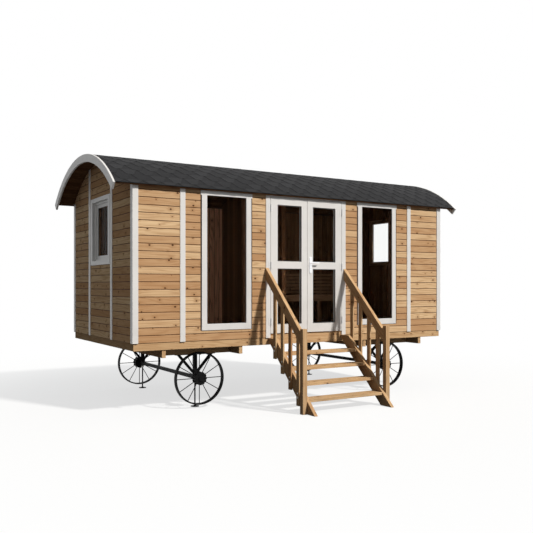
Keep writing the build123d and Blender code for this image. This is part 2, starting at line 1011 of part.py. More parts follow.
bench_x = (partition_x[1], wall_end)
bench_top = floor_top + bench_height
bench_front = inner_rear - bench_depth
slat_pitch = (bench_depth + bench_slat_gap) / bench_slat_count
with BuildPart() as bench_slats:
    for number in range(bench_slat_count):
        y = bench_front + number * slat_pitch
        timber(
            bench_x, (y, y + slat_pitch - bench_slat_gap), (bench_top - bench_slat_thickness, bench_top)
        )
save(bench_slats, "bench_slats")

with BuildPart() as bench_supports:
    under = bench_top - bench_slat_thickness
    for x in spread(bench_x[0], bench_x[1] - bench_leg_size, (bench_x[1] - bench_x[0]) / 3):
        timber(
            (x, x + bench_leg_size),
            (bench_front + bench_board_thickness, inner_rear),
            (under - bench_front_height, under),
        )
        timber(
            (x, x + bench_leg_size),
            (bench_front + bench_board_thickness, bench_front + bench_board_thickness + bench_leg_size),
            (floor_top, under),
        )
save(bench_supports, "bench_supports")

with BuildPart() as bench_front_board:
    timber(
        bench_x,
        (bench_front, bench_front + bench_board_thickness),
        (under - bench_front_height, under),
    )
save(bench_front_board, "bench_front_board")

backrest_x = (bench_x[0] + backrest_side_gap, bench_x[1] - backrest_end_gap)
backrest_z = bench_top + backrest_lift
backrest_pitch = backrest_slat_height + backrest_slat_gap
with BuildPart() as backrest:
    high = backrest_z + backrest_slat_count * backrest_pitch - backrest_slat_gap
    batten_face = inner_rear - backrest_batten_thickness
    for x in spread(backrest_x[0], backrest_x[1] - backrest_batten_width, backrest_batten_spacing):
        timber((x, x + backrest_batten_width), (batten_face, inner_rear), (backrest_z, high))
    for number in range(backrest_slat_count):
        low = backrest_z + number * backrest_pitch
        timber(
            backrest_x, (batten_face - backrest_slat_thickness, batten_face), (low, low + backrest_slat_height)
        )
save(backrest, "backrest")
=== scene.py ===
"""Boards, shingles, eased timbers, running gear and finishes of a timber sauna wagon, round its frame.

Lengths are in metres. X runs along the wagon, the door side faces -Y, and Z is up.
"""

import math

import bmesh
import bpy
import numpy as np
from bpy.props import FloatProperty, FloatVectorProperty, IntProperty, PointerProperty
from bpy.types import Operator, Panel, PropertyGroup
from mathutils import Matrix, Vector


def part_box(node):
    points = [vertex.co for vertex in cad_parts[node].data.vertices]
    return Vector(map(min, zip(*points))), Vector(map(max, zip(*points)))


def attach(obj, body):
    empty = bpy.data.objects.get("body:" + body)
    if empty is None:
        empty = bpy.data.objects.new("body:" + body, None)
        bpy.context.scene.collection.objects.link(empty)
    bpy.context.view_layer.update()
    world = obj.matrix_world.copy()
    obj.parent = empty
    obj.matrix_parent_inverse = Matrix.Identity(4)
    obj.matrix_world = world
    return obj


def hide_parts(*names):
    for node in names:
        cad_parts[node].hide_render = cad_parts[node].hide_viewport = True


bl_info = {
    "name": "Sauna Wagon",
    "version": (1, 0, 0),
    "blender": (4, 5, 0),
    "location": "View3D > Sidebar > Wagon",
    "description": "Boards, shingles, trim, running gear and finishes of a timber sauna wagon",
    "category": "Object",
}

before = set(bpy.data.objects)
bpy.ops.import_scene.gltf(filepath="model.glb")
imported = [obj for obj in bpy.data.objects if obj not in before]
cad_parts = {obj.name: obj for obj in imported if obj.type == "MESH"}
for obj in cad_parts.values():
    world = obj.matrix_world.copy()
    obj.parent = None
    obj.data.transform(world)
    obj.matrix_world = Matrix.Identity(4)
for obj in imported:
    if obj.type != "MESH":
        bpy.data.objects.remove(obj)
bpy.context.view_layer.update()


# Places read from the frame

NODE_WELD = 1e-5


def corners(node):
    """The points of a node's mesh as an array."""
    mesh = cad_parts[node].data
    points = np.empty(len(mesh.vertices) * 3)
    mesh.vertices.foreach_get("co", points)
    return points.reshape(-1, 3)


def solids(node):
    """The low and high corners of the box round each separate solid of a node."""
    mesh = bmesh.new()
    mesh.from_mesh(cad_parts[node].data)
    bmesh.ops.remove_doubles(mesh, verts=mesh.verts, dist=NODE_WELD)
    mesh.verts.index_update()
    points = np.array([vertex.co for vertex in mesh.verts])
    ends = np.array([[vertex.index for vertex in edge.verts] for edge in mesh.edges])
    mesh.free()
    label = labels(len(points), ends)
    return [(points[label == one].min(0), points[label == one].max(0)) for one in np.unique(label)]


def outer_face(low, high, axis, middle):
    """The side of a middle on which a box lies along an axis, and where its outer face is."""
    side = -1 if (low[axis] + high[axis]) / 2 < middle else 1
    return side, low[axis] if side < 0 else high[axis]


def labels(count, ends):
    """One number for each connected group of points, by repeating a minimum over the edges."""
    label = np.arange(count)
    while True:
        least = np.minimum(label[ends[:, 0]], label[ends[:, 1]])
        spread = label.copy()
        np.minimum.at(spread, ends[:, 0], least)
        np.minimum.at(spread, ends[:, 1], least)
        if np.array_equal(spread, label):
            return label
        label = spread


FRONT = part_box("front_wall_left")[0].y
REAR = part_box("rear_wall")[1].y
MIDDLE = (FRONT + REAR) / 2
WALL_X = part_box("rear_wall")[1].x
WALL_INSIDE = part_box("floor")[1].x
FRONT_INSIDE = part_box("floor")[0].y
REAR_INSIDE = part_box("floor")[1].y
FLOOR_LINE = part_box("floor")[0].z
FLOOR_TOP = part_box("floor")[1].z
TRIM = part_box("corner_boards")[1].x - WALL_X
HINGE_PLATE = 0.0025
PARTITION_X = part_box("partition")[0].x
DECK_BOARD = 0.025
ROOF_CLEARANCE = 0.001

covering = corners("roof_covering")
eave_point = covering[np.argmin(covering[:, 1])]
CROWN = covering[:, 2].max()
EAVE_HALF = MIDDLE - eave_point[1]
EAVE_SAG = CROWN - eave_point[2]
ROOF_RADIUS = (EAVE_HALF**2 + EAVE_SAG**2) / (2 * EAVE_SAG)
ROOF_CENTRE = CROWN - ROOF_RADIUS
ROOF_ARC = ROOF_RADIUS * math.asin(EAVE_HALF / ROOF_RADIUS)
ROOF_X = covering[:, 0].max()
DECK_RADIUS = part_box("roof_deck")[1].z - ROOF_CENTRE
CEILING_RADIUS = DECK_RADIUS - DECK_BOARD


def under_roof(y):
    """The height of the roof's underside over a place y: a circle about the roof's centre line."""
    rise = np.sqrt(np.maximum(CEILING_RADIUS**2 - (y - MIDDLE) ** 2, 0))
    return ROOF_CENTRE + rise - ROOF_CLEARANCE


# Meshes

LOFT_WELD = 2e-5
FLAT_ANGLE = math.radians(1)
SHARP_ANGLE = math.radians(40)
EASED_STEPS = 2
GOLDEN_SHARE = 0.618034
FIRST_TONE = 0.35


def loft(name, rings, finish, closed=False, uv=None, tone=None, rim=None):
    """Closed rings carried along a path: rings[piece, station, corner] is a point.

    Faces join each corner to the next at two neighbouring stations. An open path gets an end face at
    both ends, and a closed one joins its last station to its first.
    """
    pieces, stations, around, _ = rings.shape
    index = np.arange(pieces * stations * around).reshape(pieces, stations, around)
    here = index if closed else index[:, :-1]
    there = np.roll(index, -1, 1) if closed else index[:, 1:]
    quads = np.stack((here, np.roll(here, -1, 2), np.roll(there, -1, 2), there), axis=-1)
    faces = quads.reshape(-1, 4).tolist()
    if not closed:
        faces += index[:, 0].tolist() + index[:, -1].tolist()
    mesh = bpy.data.meshes.new(name)
    mesh.from_pydata(rings.reshape(-1, 3).tolist(), [], faces)
    dress(mesh, uv, tone, rim)
    tidy = bmesh.new()
    tidy.from_mesh(mesh)
    bmesh.ops.remove_doubles(tidy, verts=tidy.verts, dist=LOFT_WELD)
    bmesh.ops.dissolve_degenerate(tidy, edges=tidy.edges, dist=LOFT_WELD)
    bmesh.ops.recalc_face_normals(tidy, faces=tidy.faces)
    tidy.to_mesh(mesh)
    tidy.free()
    return place(mesh, name, finish)


def dress(mesh, uv, tone, rim=None):
    """Gives a mesh its UV map in metres, and its tone and rim, one value for each point."""
    if uv is not None:
        corner = np.empty(len(mesh.loops), np.int64)
        mesh.loops.foreach_get("vertex_index", corner)
        layer = mesh.uv_layers.new(name="UVMap")
        layer.data.foreach_set("uv", uv.reshape(-1, 2)[corner].astype(np.float32).ravel())
    for name, values in (("tone", tone), ("rim", rim)):
        if values is not None:
            stored = mesh.attributes.new(name, "FLOAT", "POINT")
            stored.data.foreach_set("value", values.astype(np.float32).ravel())


def place(mesh, name, finish):
    """Puts a mesh into the scene as an object at the origin with one finish."""
    piece = bpy.data.objects.new(name, mesh)
    bpy.context.scene.collection.objects.link(piece)
    mesh.materials.append(bpy.data.materials[finish])
    return piece


def settle(piece, body, slot, *replaced):
    """The piece rides on its body and hides the nodes that it replaces. The slot is not used."""
    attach(piece, body)
    if replaced:
        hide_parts(*replaced)


def smooth(piece):
    """Smooth shading, with the edges that turn by more than SHARP_ANGLE kept sharp."""
    piece.data.shade_smooth()
    piece.data.set_sharp_from_angle(angle=SHARP_ANGLE)


def eased(node, finish, edge, rounded=False):
    """A copy of a node with its flat faces joined and its arrises eased by a small bevel.

    Each solid's tone is the fraction of its number times the golden share, which spreads them evenly.
    """
    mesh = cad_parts[node].data.copy()
    mesh.materials.clear()
    joined = bmesh.new()
    joined.from_mesh(mesh)
    bmesh.ops.remove_doubles(joined, verts=joined.verts, dist=NODE_WELD)
    bmesh.ops.dissolve_limit(joined, angle_limit=FLAT_ANGLE, verts=joined.verts, edges=joined.edges)
    joined.to_mesh(mesh)
    joined.free()
    ends = np.empty(len(mesh.edges) * 2, np.int64)
    mesh.edges.foreach_get("vertices", ends)
    label = labels(len(mesh.vertices), ends.reshape(-1, 2))
    dress(mesh, None, np.modf(label * GOLDEN_SHARE + FIRST_TONE)[0])
    piece = place(mesh, f"{node}_eased", finish)
    bevel = piece.modifiers.new("eased_edges", "BEVEL")
    bevel.width = edge
    bevel.segments = EASED_STEPS
    bevel.limit_method = "ANGLE"
    bevel.angle_limit = SHARP_ANGLE
    if rounded:
        smooth(piece)
    return piece


def disc_rings(centres, axis, profile, sides):
    """Turned studs: profile rows are (radius, rise), each carried round the axis at every centre."""
    axis = np.array(axis, float)
    first = np.cross(axis, (1, 0, 0) if abs(axis[0]) < 0.5 else (0, 1, 0))
    first /= np.linalg.norm(first)
    second = np.cross(axis, first)
    angle = np.linspace(0, 2 * np.pi, sides, endpoint=False)
    ring = np.cos(angle)[:, None] * first + np.sin(angle)[:, None] * second
    profile = np.array(profile, float)
    rings = profile[:, 0, None, None] * ring + profile[:, 1, None, None] * axis
    return np.array(centres, float)[:, None, None, :] + rings[None]


# Shader nodes


def wire(tree, value, socket):
    """Links a socket to a value, or sets the value on it."""
    if isinstance(value, bpy.types.NodeSocket):
        tree.links.new(value, socket)
    else:
        socket.default_value = value


def calc(tree, operation, *values):
    """One arithmetic step."""
    node = tree.nodes.new("ShaderNodeMath")
    node.operation = operation
    for value, socket in zip(values, node.inputs):
        wire(tree, value, socket)
    return node.outputs[0]


def vector(tree, x, y, z):
    """Three values as one vector."""
    node = tree.nodes.new("ShaderNodeCombineXYZ")
    for value, socket in zip((x, y, z), node.inputs):
        wire(tree, value, socket)
    return node.outputs[0]


def scaled(tree, values, shares):
    """Three values, each multiplied by its own share, as one vector."""
    return vector(tree, *(calc(tree, "MULTIPLY", value, share) for value, share in zip(values, shares)))


def parts(tree, value):
    """A vector's three values."""
    node = tree.nodes.new("ShaderNodeSeparateXYZ")
    wire(tree, value, node.inputs[0])
    return node.outputs


def noise(tree, at, scale, detail, roughness=0.5):
    """A smooth random value over the surface."""
    node = tree.nodes.new("ShaderNodeTexNoise")
    wire(tree, at, node.inputs["Vector"])
    node.inputs["Scale"].default_value = scale
    node.inputs["Detail"].default_value = detail
    node.inputs["Roughness"].default_value = roughness
    return node.outputs[0]


def between(tree, value, low, high, to_low=0.0, to_high=1.0):
    """The value carried smoothly from one range to another, and held at its ends."""
    node = tree.nodes.new("ShaderNodeMapRange")
    node.interpolation_type = "SMOOTHSTEP"
    for item, socket in zip((value, low, high, to_low, to_high), node.inputs):
        wire(tree, item, socket)
    return node.outputs[0]


def blend(tree, share, first, second):
    """Two colours mixed by a share."""
    node = tree.nodes.new("ShaderNodeMix")
    node.data_type = "RGBA"
    wire(tree, share, node.inputs[0])
    for value, socket in ((first, node.inputs[6]), (second, node.inputs[7])):
        wire(tree, value if isinstance(value, bpy.types.NodeSocket) else (*value[:3], 1), socket)
    return node.outputs[2]


def mix_shaders(tree, share, first, second):
    """Two shaders mixed by a share."""
    node = tree.nodes.new("ShaderNodeMixShader")
    for value, socket in zip((share, first.outputs[0], second.outputs[0]), node.inputs):
        wire(tree, value, socket)
    return node.outputs[0]


def place_in(tree):
    """The place on the object, in metres."""
    return tree.nodes.new("ShaderNodeTexCoord").outputs["Object"]


def attribute(tree, name):
    """A value stored on the mesh."""
    node = tree.nodes.new("ShaderNodeAttribute")
    node.attribute_name = name
    return node.outputs["Fac"]


def open_group(name, inputs, outputs):
    """A new node group with its named sockets, and its input and output nodes."""
    tree = bpy.data.node_groups.new(name, "ShaderNodeTree")
    for label, kind, default in inputs:
        socket = tree.interface.new_socket(label, in_out="INPUT", socket_type=kind)
        if default is not None:
            socket.default_value = default
    for label, kind in outputs:
        tree.interface.new_socket(label, in_out="OUTPUT", socket_type=kind)
    return tree, tree.nodes.new("NodeGroupInput").outputs, tree.nodes.new("NodeGroupOutput").inputs


def use_group(tree, name, **values):
    """A group in a material, with values for its inputs."""
    node = tree.nodes.new("ShaderNodeGroup")
    node.node_tree = bpy.data.node_groups[name]
    for label, value in values.items():
        wire(tree, value, node.inputs[label])
    return node.outputs


FLOAT, VECTOR = "NodeSocketFloat", "NodeSocketVector"


def figure_group():
    """Pine figure from a place in metres whose X runs with the grain.

    Knots are the middles of a flat cell pattern, kept by chance. Streaks and growth lines are noise
    stretched along the grain, pushed aside round each knot.
    """
    tree, given, result = open_group(
        "pine_figure",
        (("Place", VECTOR, None), ("Knots", FLOAT, 0.5)),
        (("Streaks", FLOAT), ("Lines", FLOAT), ("Knot", FLOAT), ("Halo", FLOAT), ("Height", FLOAT)),
    )
    per_metre, least_knot, knot_range, halo_reach, bend = 5.6, 0.005, 0.012, 4.0, 0.014
    x, y, z = parts(tree, given["Place"])
    cells = tree.nodes.new("ShaderNodeTexVoronoi")
    cells.voronoi_dimensions = "2D"
    cells.inputs["Scale"].default_value = per_metre
    flat = vector(tree, calc(tree, "MULTIPLY", x, 0.75), calc(tree, "ADD", y, z), 0.0)
    wire(tree, flat, cells.inputs["Vector"])
    away = calc(tree, "DIVIDE", cells.outputs["Distance"], per_metre)
    chance, size, _ = parts(tree, cells.outputs["Color"])
    kept = calc(tree, "GREATER_THAN", chance, calc(tree, "SUBTRACT", 1.0, given["Knots"]))
    radius = calc(tree, "MULTIPLY_ADD", size, knot_range, least_knot)
    inner = calc(tree, "MULTIPLY", radius, 0.5)
    knot = calc(tree, "MULTIPLY", between(tree, away, inner, radius, 1.0, 0.0), kept)
    outer = calc(tree, "MULTIPLY", radius, halo_reach)
    halo = calc(tree, "MULTIPLY", between(tree, away, radius, outer, 1.0, 0.0), kept)
    bent = calc(tree, "MULTIPLY_ADD", halo, bend, y)
    fine = scaled(tree, (x, bent, z), (2.5, 90, 90))
    streaks = noise(tree, fine, 1.0, 5.0, 0.62)
    broad = scaled(tree, (x, bent, z), (0.5, 9, 9))
    swell = calc(tree, "MULTIPLY", noise(tree, broad, 1.0, 1.5), 75.0)
    lines = calc(tree, "POWER", calc(tree, "MULTIPLY_ADD", calc(tree, "SINE", swell), 0.5, 0.5), 3.0)
    height = calc(tree, "SUBTRACT", calc(tree, "MULTIPLY", streaks, 0.6), calc(tree, "MULTIPLY", lines, 0.3))
    for value, socket in zip((streaks, lines, knot, halo, height), result):
        wire(tree, value, socket)


def wear_group():
    """Where an edge stands out: the angle between the face and a rounded normal, broken up by noise."""
    tree, given, result = open_group(
        "edge_wear", (("Radius", FLOAT, 0.004), ("Amount", FLOAT, 0.5)), (("Wear", FLOAT),)
    )
    rounded = tree.nodes.new("ShaderNodeBevel")
    rounded.samples = 4
    wire(tree, given["Radius"], rounded.inputs["Radius"])
    turn = tree.nodes.new("ShaderNodeVectorMath")
    turn.operation = "DOT_PRODUCT"
    wire(tree, rounded.outputs[0], turn.inputs[0])
    wire(tree, tree.nodes.new("ShaderNodeNewGeometry").outputs["Normal"], turn.inputs[1])
    edge = between(tree, turn.outputs["Value"], 0.97, 0.75, 0.0, 1.0)
    patch = between(tree, noise(tree, place_in(tree), 14.0, 4.0, 0.7), 0.42, 0.62)
    wear = calc(tree, "MULTIPLY", calc(tree, "MULTIPLY", edge, patch), given["Amount"])
    wire(tree, wear, result["Wear"])


def dust_group():
    """Dust and splashes that thin out with height above the ground, broken up by noise."""
    tree, given, result = open_group(
        "low_dust", (("Reach", FLOAT, 0.9), ("Amount", FLOAT, 0.4)), (("Dust", FLOAT),)
    )
    at = place_in(tree)
    fade = between(tree, parts(tree, at)[2], 0.0, given["Reach"], 1.0, 0.0)
    patch = between(tree, noise(tree, at, 6.0, 6.0, 0.68), 0.38, 0.68)
    wire(tree, calc(tree, "MULTIPLY", calc(tree, "MULTIPLY", fade, patch), given["Amount"]), result["Dust"])


def joint_group():
    """Dark lines between boards where a place is near a multiple of the pitch, and a tone for each board."""
    tree, given, result = open_group(
        "board_joints", (("Across", FLOAT, 0.0), ("Pitch", FLOAT, 0.1), ("Width", FLOAT, 0.003)),
        (("Joint", FLOAT), ("Board", FLOAT)),
    )
    count = calc(tree, "DIVIDE", given["Across"], given["Pitch"])
    near = calc(tree, "MULTIPLY", calc(tree, "PINGPONG", count, 0.5), given["Pitch"])
    wire(tree, between(tree, near, 0.0, given["Width"], 1.0, 0.0), result["Joint"])
    number = calc(tree, "FLOOR", count)
    wire(tree, calc(tree, "FRACT", calc(tree, "MULTIPLY", number, GOLDEN_SHARE)), result["Board"])


# Finishes

# Fixed colours as linear red, green and blue, and shifts of the figure in metres for a tone of one.
KNOT_BROWN = (0.06, 0.022, 0.01)
# Painted shade on the sides of timbers that face along the wagon.
SIDE_SHADE_BROWN = (0.12, 0.06, 0.028)
JOINT_BROWN = (0.115, 0.042, 0.018)
TIMBER_DUST = (0.23, 0.18, 0.13)
BRUSH_GREY = (0.55, 0.53, 0.50)
BARE_ARRIS = (0.46, 0.38, 0.29)
TRIM_DUST = (0.42, 0.38, 0.32)
PALE_GRANULE = (0.13, 0.13, 0.135)
# Painted shade along the shingle tabs' lower edges, and just under the course above.
TAB_EDGE_SHADE = (0.007, 0.007, 0.008)
TAB_CONTACT_SHADE = (0.010, 0.010, 0.011)
WORN_STEEL = (0.04, 0.036, 0.033)
STEEL_DUST = (0.032, 0.029, 0.025)
BRIGHT_STEEL = ((0.80, 0.80, 0.81), (0.94, 0.94, 0.95))
BARREL_STEEL = ((0.34, 0.34, 0.35), (0.55, 0.55, 0.56))
ZINC_GREYS = ((0.22, 0.215, 0.20), (0.42, 0.41, 0.38))
RUBBER_BLACKS = ((0.008, 0.008, 0.008), (0.03, 0.03, 0.029))
INNER_KNOT = (0.03, 0.012, 0.006)
INNER_JOINT = (0.012, 0.006, 0.004)
WALL_CORE_DEEP = (0.05, 0.022, 0.012)
DARKER_WOOD = (0.72, 0.62, 0.52)
PINE_ROUGHNESS = 0.65
BOARD_SHIFT = 37.0
TIMBER_SHIFT = 11.0
DRAWN_SHIFT = 9.0
GLASS_INDEX = 1.03


def new_finish(name, roughness, metallic=0.0, specular=0.5):
    """A material with one Principled shader, and its tree and shader."""
    material = bpy.data.materials.new(name)
    material.use_nodes = True
    tree = material.node_tree
    shader = tree.nodes["Principled BSDF"]
    shader.inputs["Roughness"].default_value = roughness
    shader.inputs["Metallic"].default_value = metallic
    shader.inputs["Specular IOR Level"].default_value = specular
    return tree, shader


def bump(tree, shader, height, distance, strength):
    """Surface relief: the height in units of the distance."""
    node = tree.nodes.new("ShaderNodeBump")
    node.inputs["Strength"].default_value = strength
    node.inputs["Distance"].default_value = distance
    wire(tree, height, node.inputs["Height"])
    wire(tree, node.outputs[0], shader.inputs["Normal"])


def grain_place(tree, grain, slope=0.0):
    """The place on the object turned so that X runs with the grain."""
    turned = tree.nodes.new("ShaderNodeMapping")
    wire(tree, place_in(tree), turned.inputs["Vector"])
    turned.inputs["Rotation"].default_value = (-slope, 0, 0)
    x, y, z = parts(tree, turned.outputs[0])
    order = {"x": (x, y, z), "y": (y, x, z), "z": (z, x, y)}[grain]
    return vector(tree, *order)


def pine(name, at_from, light, deep, knots, dust=0.0, joint=0.0, side_shade=0.0, painted_room_light=None):
    """Pine: tone from board to board, streaks, growth lines, knots and fine relief.

    side_shade is painted shade: it darkens the sides that face along the wagon. painted_room_light is
    painted light: a paler colour that the boards left of the partition lean to, the more so the nearer they
    are to it.
    """
    tree, shader = new_finish(name, roughness=PINE_ROUGHNESS, specular=0.01)
    tone = attribute(tree, "tone")
    figure = use_group(tree, "pine_figure", Place=at_from(tree, tone), Knots=knots)
    patch = noise(tree, at_from(tree, tone), 2.2, 3.0, 0.6)
    mixed = calc(tree, "MULTIPLY_ADD", patch, 0.45, calc(tree, "MULTIPLY", tone, 0.75))
    colour = blend(tree, between(tree, mixed, 0.2, 1.0), light, deep)
    if painted_room_light:
        # Painted light: the boards left of the partition grow paler towards it.
        pale_from, pale_by, edge_half, most_pale = 1.6, 0.6, 0.01, 0.9
        side = parts(tree, place_in(tree))[0]
        near = between(tree, side, PARTITION_X - pale_from, PARTITION_X - pale_by)
        left = between(tree, side, PARTITION_X - edge_half, PARTITION_X + edge_half, most_pale, 0.0)
        colour = blend(tree, calc(tree, "MULTIPLY", near, left), colour, painted_room_light)
    darker = [channel * share for channel, share in zip(deep, DARKER_WOOD)]
    colour = blend(tree, calc(tree, "MULTIPLY", figure["Lines"], 0.42), colour, darker)
    streak = between(tree, figure["Streaks"], 0.35, 0.7, 0.0, 0.32)
    colour = blend(tree, streak, colour, darker)
    colour = blend(tree, calc(tree, "MULTIPLY", figure["Halo"], 0.35), colour, darker)
    colour = blend(tree, calc(tree, "MULTIPLY", figure["Knot"], 0.92), colour, KNOT_BROWN)
    # Painted shade: the sides that face along the wagon are darker.
    if side_shade:
        facing = parts(tree, tree.nodes.new("ShaderNodeNewGeometry").outputs["Normal"])[0]
        painted_side_shade = between(tree, calc(tree, "ABSOLUTE", facing), 0.6, 0.9, 0.0, side_shade)
        colour = blend(tree, painted_side_shade, colour, SIDE_SHADE_BROWN)
    if joint:
        edge = between(tree, attribute(tree, "rim"), 0.0, 0.8, 0.0, joint)
        colour = blend(tree, edge, colour, JOINT_BROWN)
    if dust:
        grime = use_group(tree, "low_dust", Reach=1.0, Amount=dust)["Dust"]
        colour = blend(tree, grime, colour, TIMBER_DUST)
    wire(tree, colour, shader.inputs["Base Color"])
    rough = calc(tree, "MULTIPLY_ADD", figure["Streaks"], 0.25, PINE_ROUGHNESS - 0.1)
    wire(tree, rough, shader.inputs["Roughness"])
    bump(tree, shader, figure["Height"], distance=0.0008, strength=0.6)


def board_place(tree, tone):
    """The place on a board from its UV map, with a stretch of timber of its own for each tone."""
    u, v, _ = parts(tree, tree.nodes.new("ShaderNodeUVMap").outputs[0])
    return vector(tree, u, v, calc(tree, "MULTIPLY", tone, BOARD_SHIFT))


def timber_place(grain, slope=0.0):
    """A function that gives the place in a timber whose grain runs along an axis."""

    def at(tree, tone):
        x, y, z = parts(tree, grain_place(tree, grain, slope))
        return vector(tree, calc(tree, "MULTIPLY_ADD", tone, TIMBER_SHIFT, x), y, z)

    return at


def white_paint(colours, name="white_paint", bare_inside=None):
    """White paint on planed timber: faint grain, brush marks, a little grime and worn arrises.

    bare_inside is the distance from the middle of the wagon up to which the timber is unpainted.
    """
    tree, shader = new_finish(name, roughness=0.42, specular=1.0)
    at = place_in(tree)
    place_parts = parts(tree, at)
    marks = noise(tree, scaled(tree, place_parts, (160, 160, 6)), 1.0, 4.0, 0.6)
    patch = noise(tree, at, 3.0, 4.0, 0.6)
    cream = [channel * 0.93 for channel in colours.white_paint]
    colour = blend(tree, between(tree, patch, 0.35, 0.7), colours.white_paint, cream)
    colour = blend(tree, between(tree, marks, 0.5, 0.8, 0.0, 0.18), colour, BRUSH_GREY)
    wear = use_group(tree, "edge_wear", Radius=0.004, Amount=0.35)["Wear"]
    colour = blend(tree, wear, colour, BARE_ARRIS)
    grime = use_group(tree, "low_dust", Reach=1.6, Amount=0.22)["Dust"]
    colour = blend(tree, grime, colour, TRIM_DUST)
    if bare_inside:
        bare = calc(tree, "LESS_THAN", calc(tree, "ABSOLUTE", place_parts[0]), bare_inside)
        colour = blend(tree, bare, colour, colours.lining_light)
    wire(tree, colour, shader.inputs["Base Color"])
    wire(tree, calc(tree, "MULTIPLY_ADD", marks, 0.22, 0.34), shader.inputs["Roughness"])
    bump(tree, shader, marks, distance=0.0004, strength=0.5)


def shingle_felt(colours):
    """Mineral felt: fine granules, a tone for each tab, weathering, painted shade along each tab's lower edge
    and painted shade just under the course above.
    """
    tree, shader = new_finish("shingle_felt", roughness=0.88, specular=0.2)
    at = place_in(tree)
    granule = noise(tree, at, 420.0, 2.0, 0.8)
    speckle = noise(tree, at, 120.0, 3.0, 0.8)
    patch = noise(tree, at, 1.6, 4.0, 0.6)
    tone = attribute(tree, "tone")
    light = [channel * 1.55 for channel in colours.shingle]
    dark = [channel * 0.6 for channel in colours.shingle]
    share = calc(tree, "MULTIPLY_ADD", patch, 0.5, calc(tree, "MULTIPLY", tone, 0.5))
    colour = blend(tree, between(tree, share, 0.15, 0.85), dark, light)
    colour = blend(tree, between(tree, granule, 0.5, 0.75, 0.0, 0.45), colour, PALE_GRANULE)
    colour = blend(tree, between(tree, speckle, 0.55, 0.8, 0.0, 0.3), colour, dark)
    # Painted shade: a dark line along each tab's lower edge.
    edge = between(tree, attribute(tree, "rim"), 0.8, 0.93, 0.0, 0.85)
    colour = blend(tree, edge, colour, TAB_EDGE_SHADE)
    # Painted shade: a tab is darker just under the edge of the course above.
    down_tab = parts(tree, tree.nodes.new("ShaderNodeUVMap").outputs[0])[1]
    shade = between(tree, down_tab, 0.42, 0.56, 0.8, 0.0)
    colour = blend(tree, shade, colour, TAB_CONTACT_SHADE)
    wire(tree, colour, shader.inputs["Base Color"])
    bump(tree, shader, granule, distance=0.0012, strength=0.8)


def painted_steel(colours):
    """Satin black paint on steel: orange peel, dust low down and greyer, worn arrises."""
    tree, shader = new_finish("painted_steel", roughness=0.4, specular=0.05)
    at = place_in(tree)
    peel = noise(tree, at, 260.0, 2.0, 0.5)
    patch = noise(tree, at, 7.0, 5.0, 0.65)
    lighter = [channel * 2.2 for channel in colours.steel_paint]
    colour = blend(tree, between(tree, patch, 0.4, 0.75), colours.steel_paint, lighter)
    wear = use_group(tree, "edge_wear", Radius=0.003, Amount=0.8)["Wear"]
    colour = blend(tree, wear, colour, WORN_STEEL)
    grime = use_group(tree, "low_dust", Reach=0.75, Amount=0.25)["Dust"]
    colour = blend(tree, grime, colour, STEEL_DUST)
    wire(tree, colour, shader.inputs["Base Color"])
    wire(tree, calc(tree, "MULTIPLY_ADD", patch, 0.35, 0.25), shader.inputs["Roughness"])
    bump(tree, shader, peel, distance=0.0003, strength=0.5)


def bright_steel():
    """Brushed steel of the lock plates, the lever and the hinge screws: fine upright marks."""
    tree, shader = new_finish("bright_steel", roughness=0.34, metallic=1.0)
    at = place_in(tree)
    marks = noise(tree, scaled(tree, parts(tree, at), (900, 900, 40)), 1.0, 3.0, 0.6)
    smear = noise(tree, at, 30.0, 3.0, 0.6)
    colour = blend(tree, smear, *BRIGHT_STEEL)
    wire(tree, colour, shader.inputs["Base Color"])
    wire(tree, calc(tree, "MULTIPLY_ADD", marks, 0.3, 0.2), shader.inputs["Roughness"])
    bump(tree, shader, marks, distance=0.0001, strength=0.5)


def hinge_steel(colours):
    """Steel barrels between plates that are painted with the door: paint lies behind the plates' face."""
    tree, shader = new_finish("hinge_steel", roughness=0.35)
    margin = 0.0002
    at = place_in(tree)
    painted = calc(tree, "GREATER_THAN", parts(tree, at)[1], FRONT - TRIM - HINGE_PLATE - margin)
    smear = noise(tree, at, 40.0, 3.0, 0.6)
    steel = blend(tree, smear, *BARREL_STEEL)
    wire(tree, blend(tree, painted, steel, colours.white_paint), shader.inputs["Base Color"])
    wire(tree, calc(tree, "SUBTRACT", 1.0, painted), shader.inputs["Metallic"])
    wire(tree, calc(tree, "MULTIPLY_ADD", smear, 0.2, 0.3), shader.inputs["Roughness"])
    bump(tree, shader, smear, distance=0.0002, strength=0.4)


def zinc_steel():
    """Zinc-plated screw heads and bolts: dull, with cloudy patches."""
    tree, shader = new_finish("zinc_steel", roughness=0.5, metallic=0.9)
    cloud = noise(tree, place_in(tree), 60.0, 4.0, 0.7)
    wire(tree, blend(tree, cloud, *ZINC_GREYS), shader.inputs["Base Color"])
    wire(tree, calc(tree, "MULTIPLY_ADD", cloud, 0.3, 0.35), shader.inputs["Roughness"])
    bump(tree, shader, cloud, distance=0.0002, strength=0.4)


def rubber_seal():
    """Black rubber of the glazing seals: matt, with a grey bloom in patches."""
    tree, shader = new_finish("rubber_seal", roughness=0.8, specular=0.3)
    bloom = noise(tree, place_in(tree), 25.0, 4.0, 0.7)
    wire(tree, blend(tree, bloom, *RUBBER_BLACKS), shader.inputs["Base Color"])
    wire(tree, calc(tree, "MULTIPLY_ADD", bloom, 0.3, 0.6), shader.inputs["Roughness"])


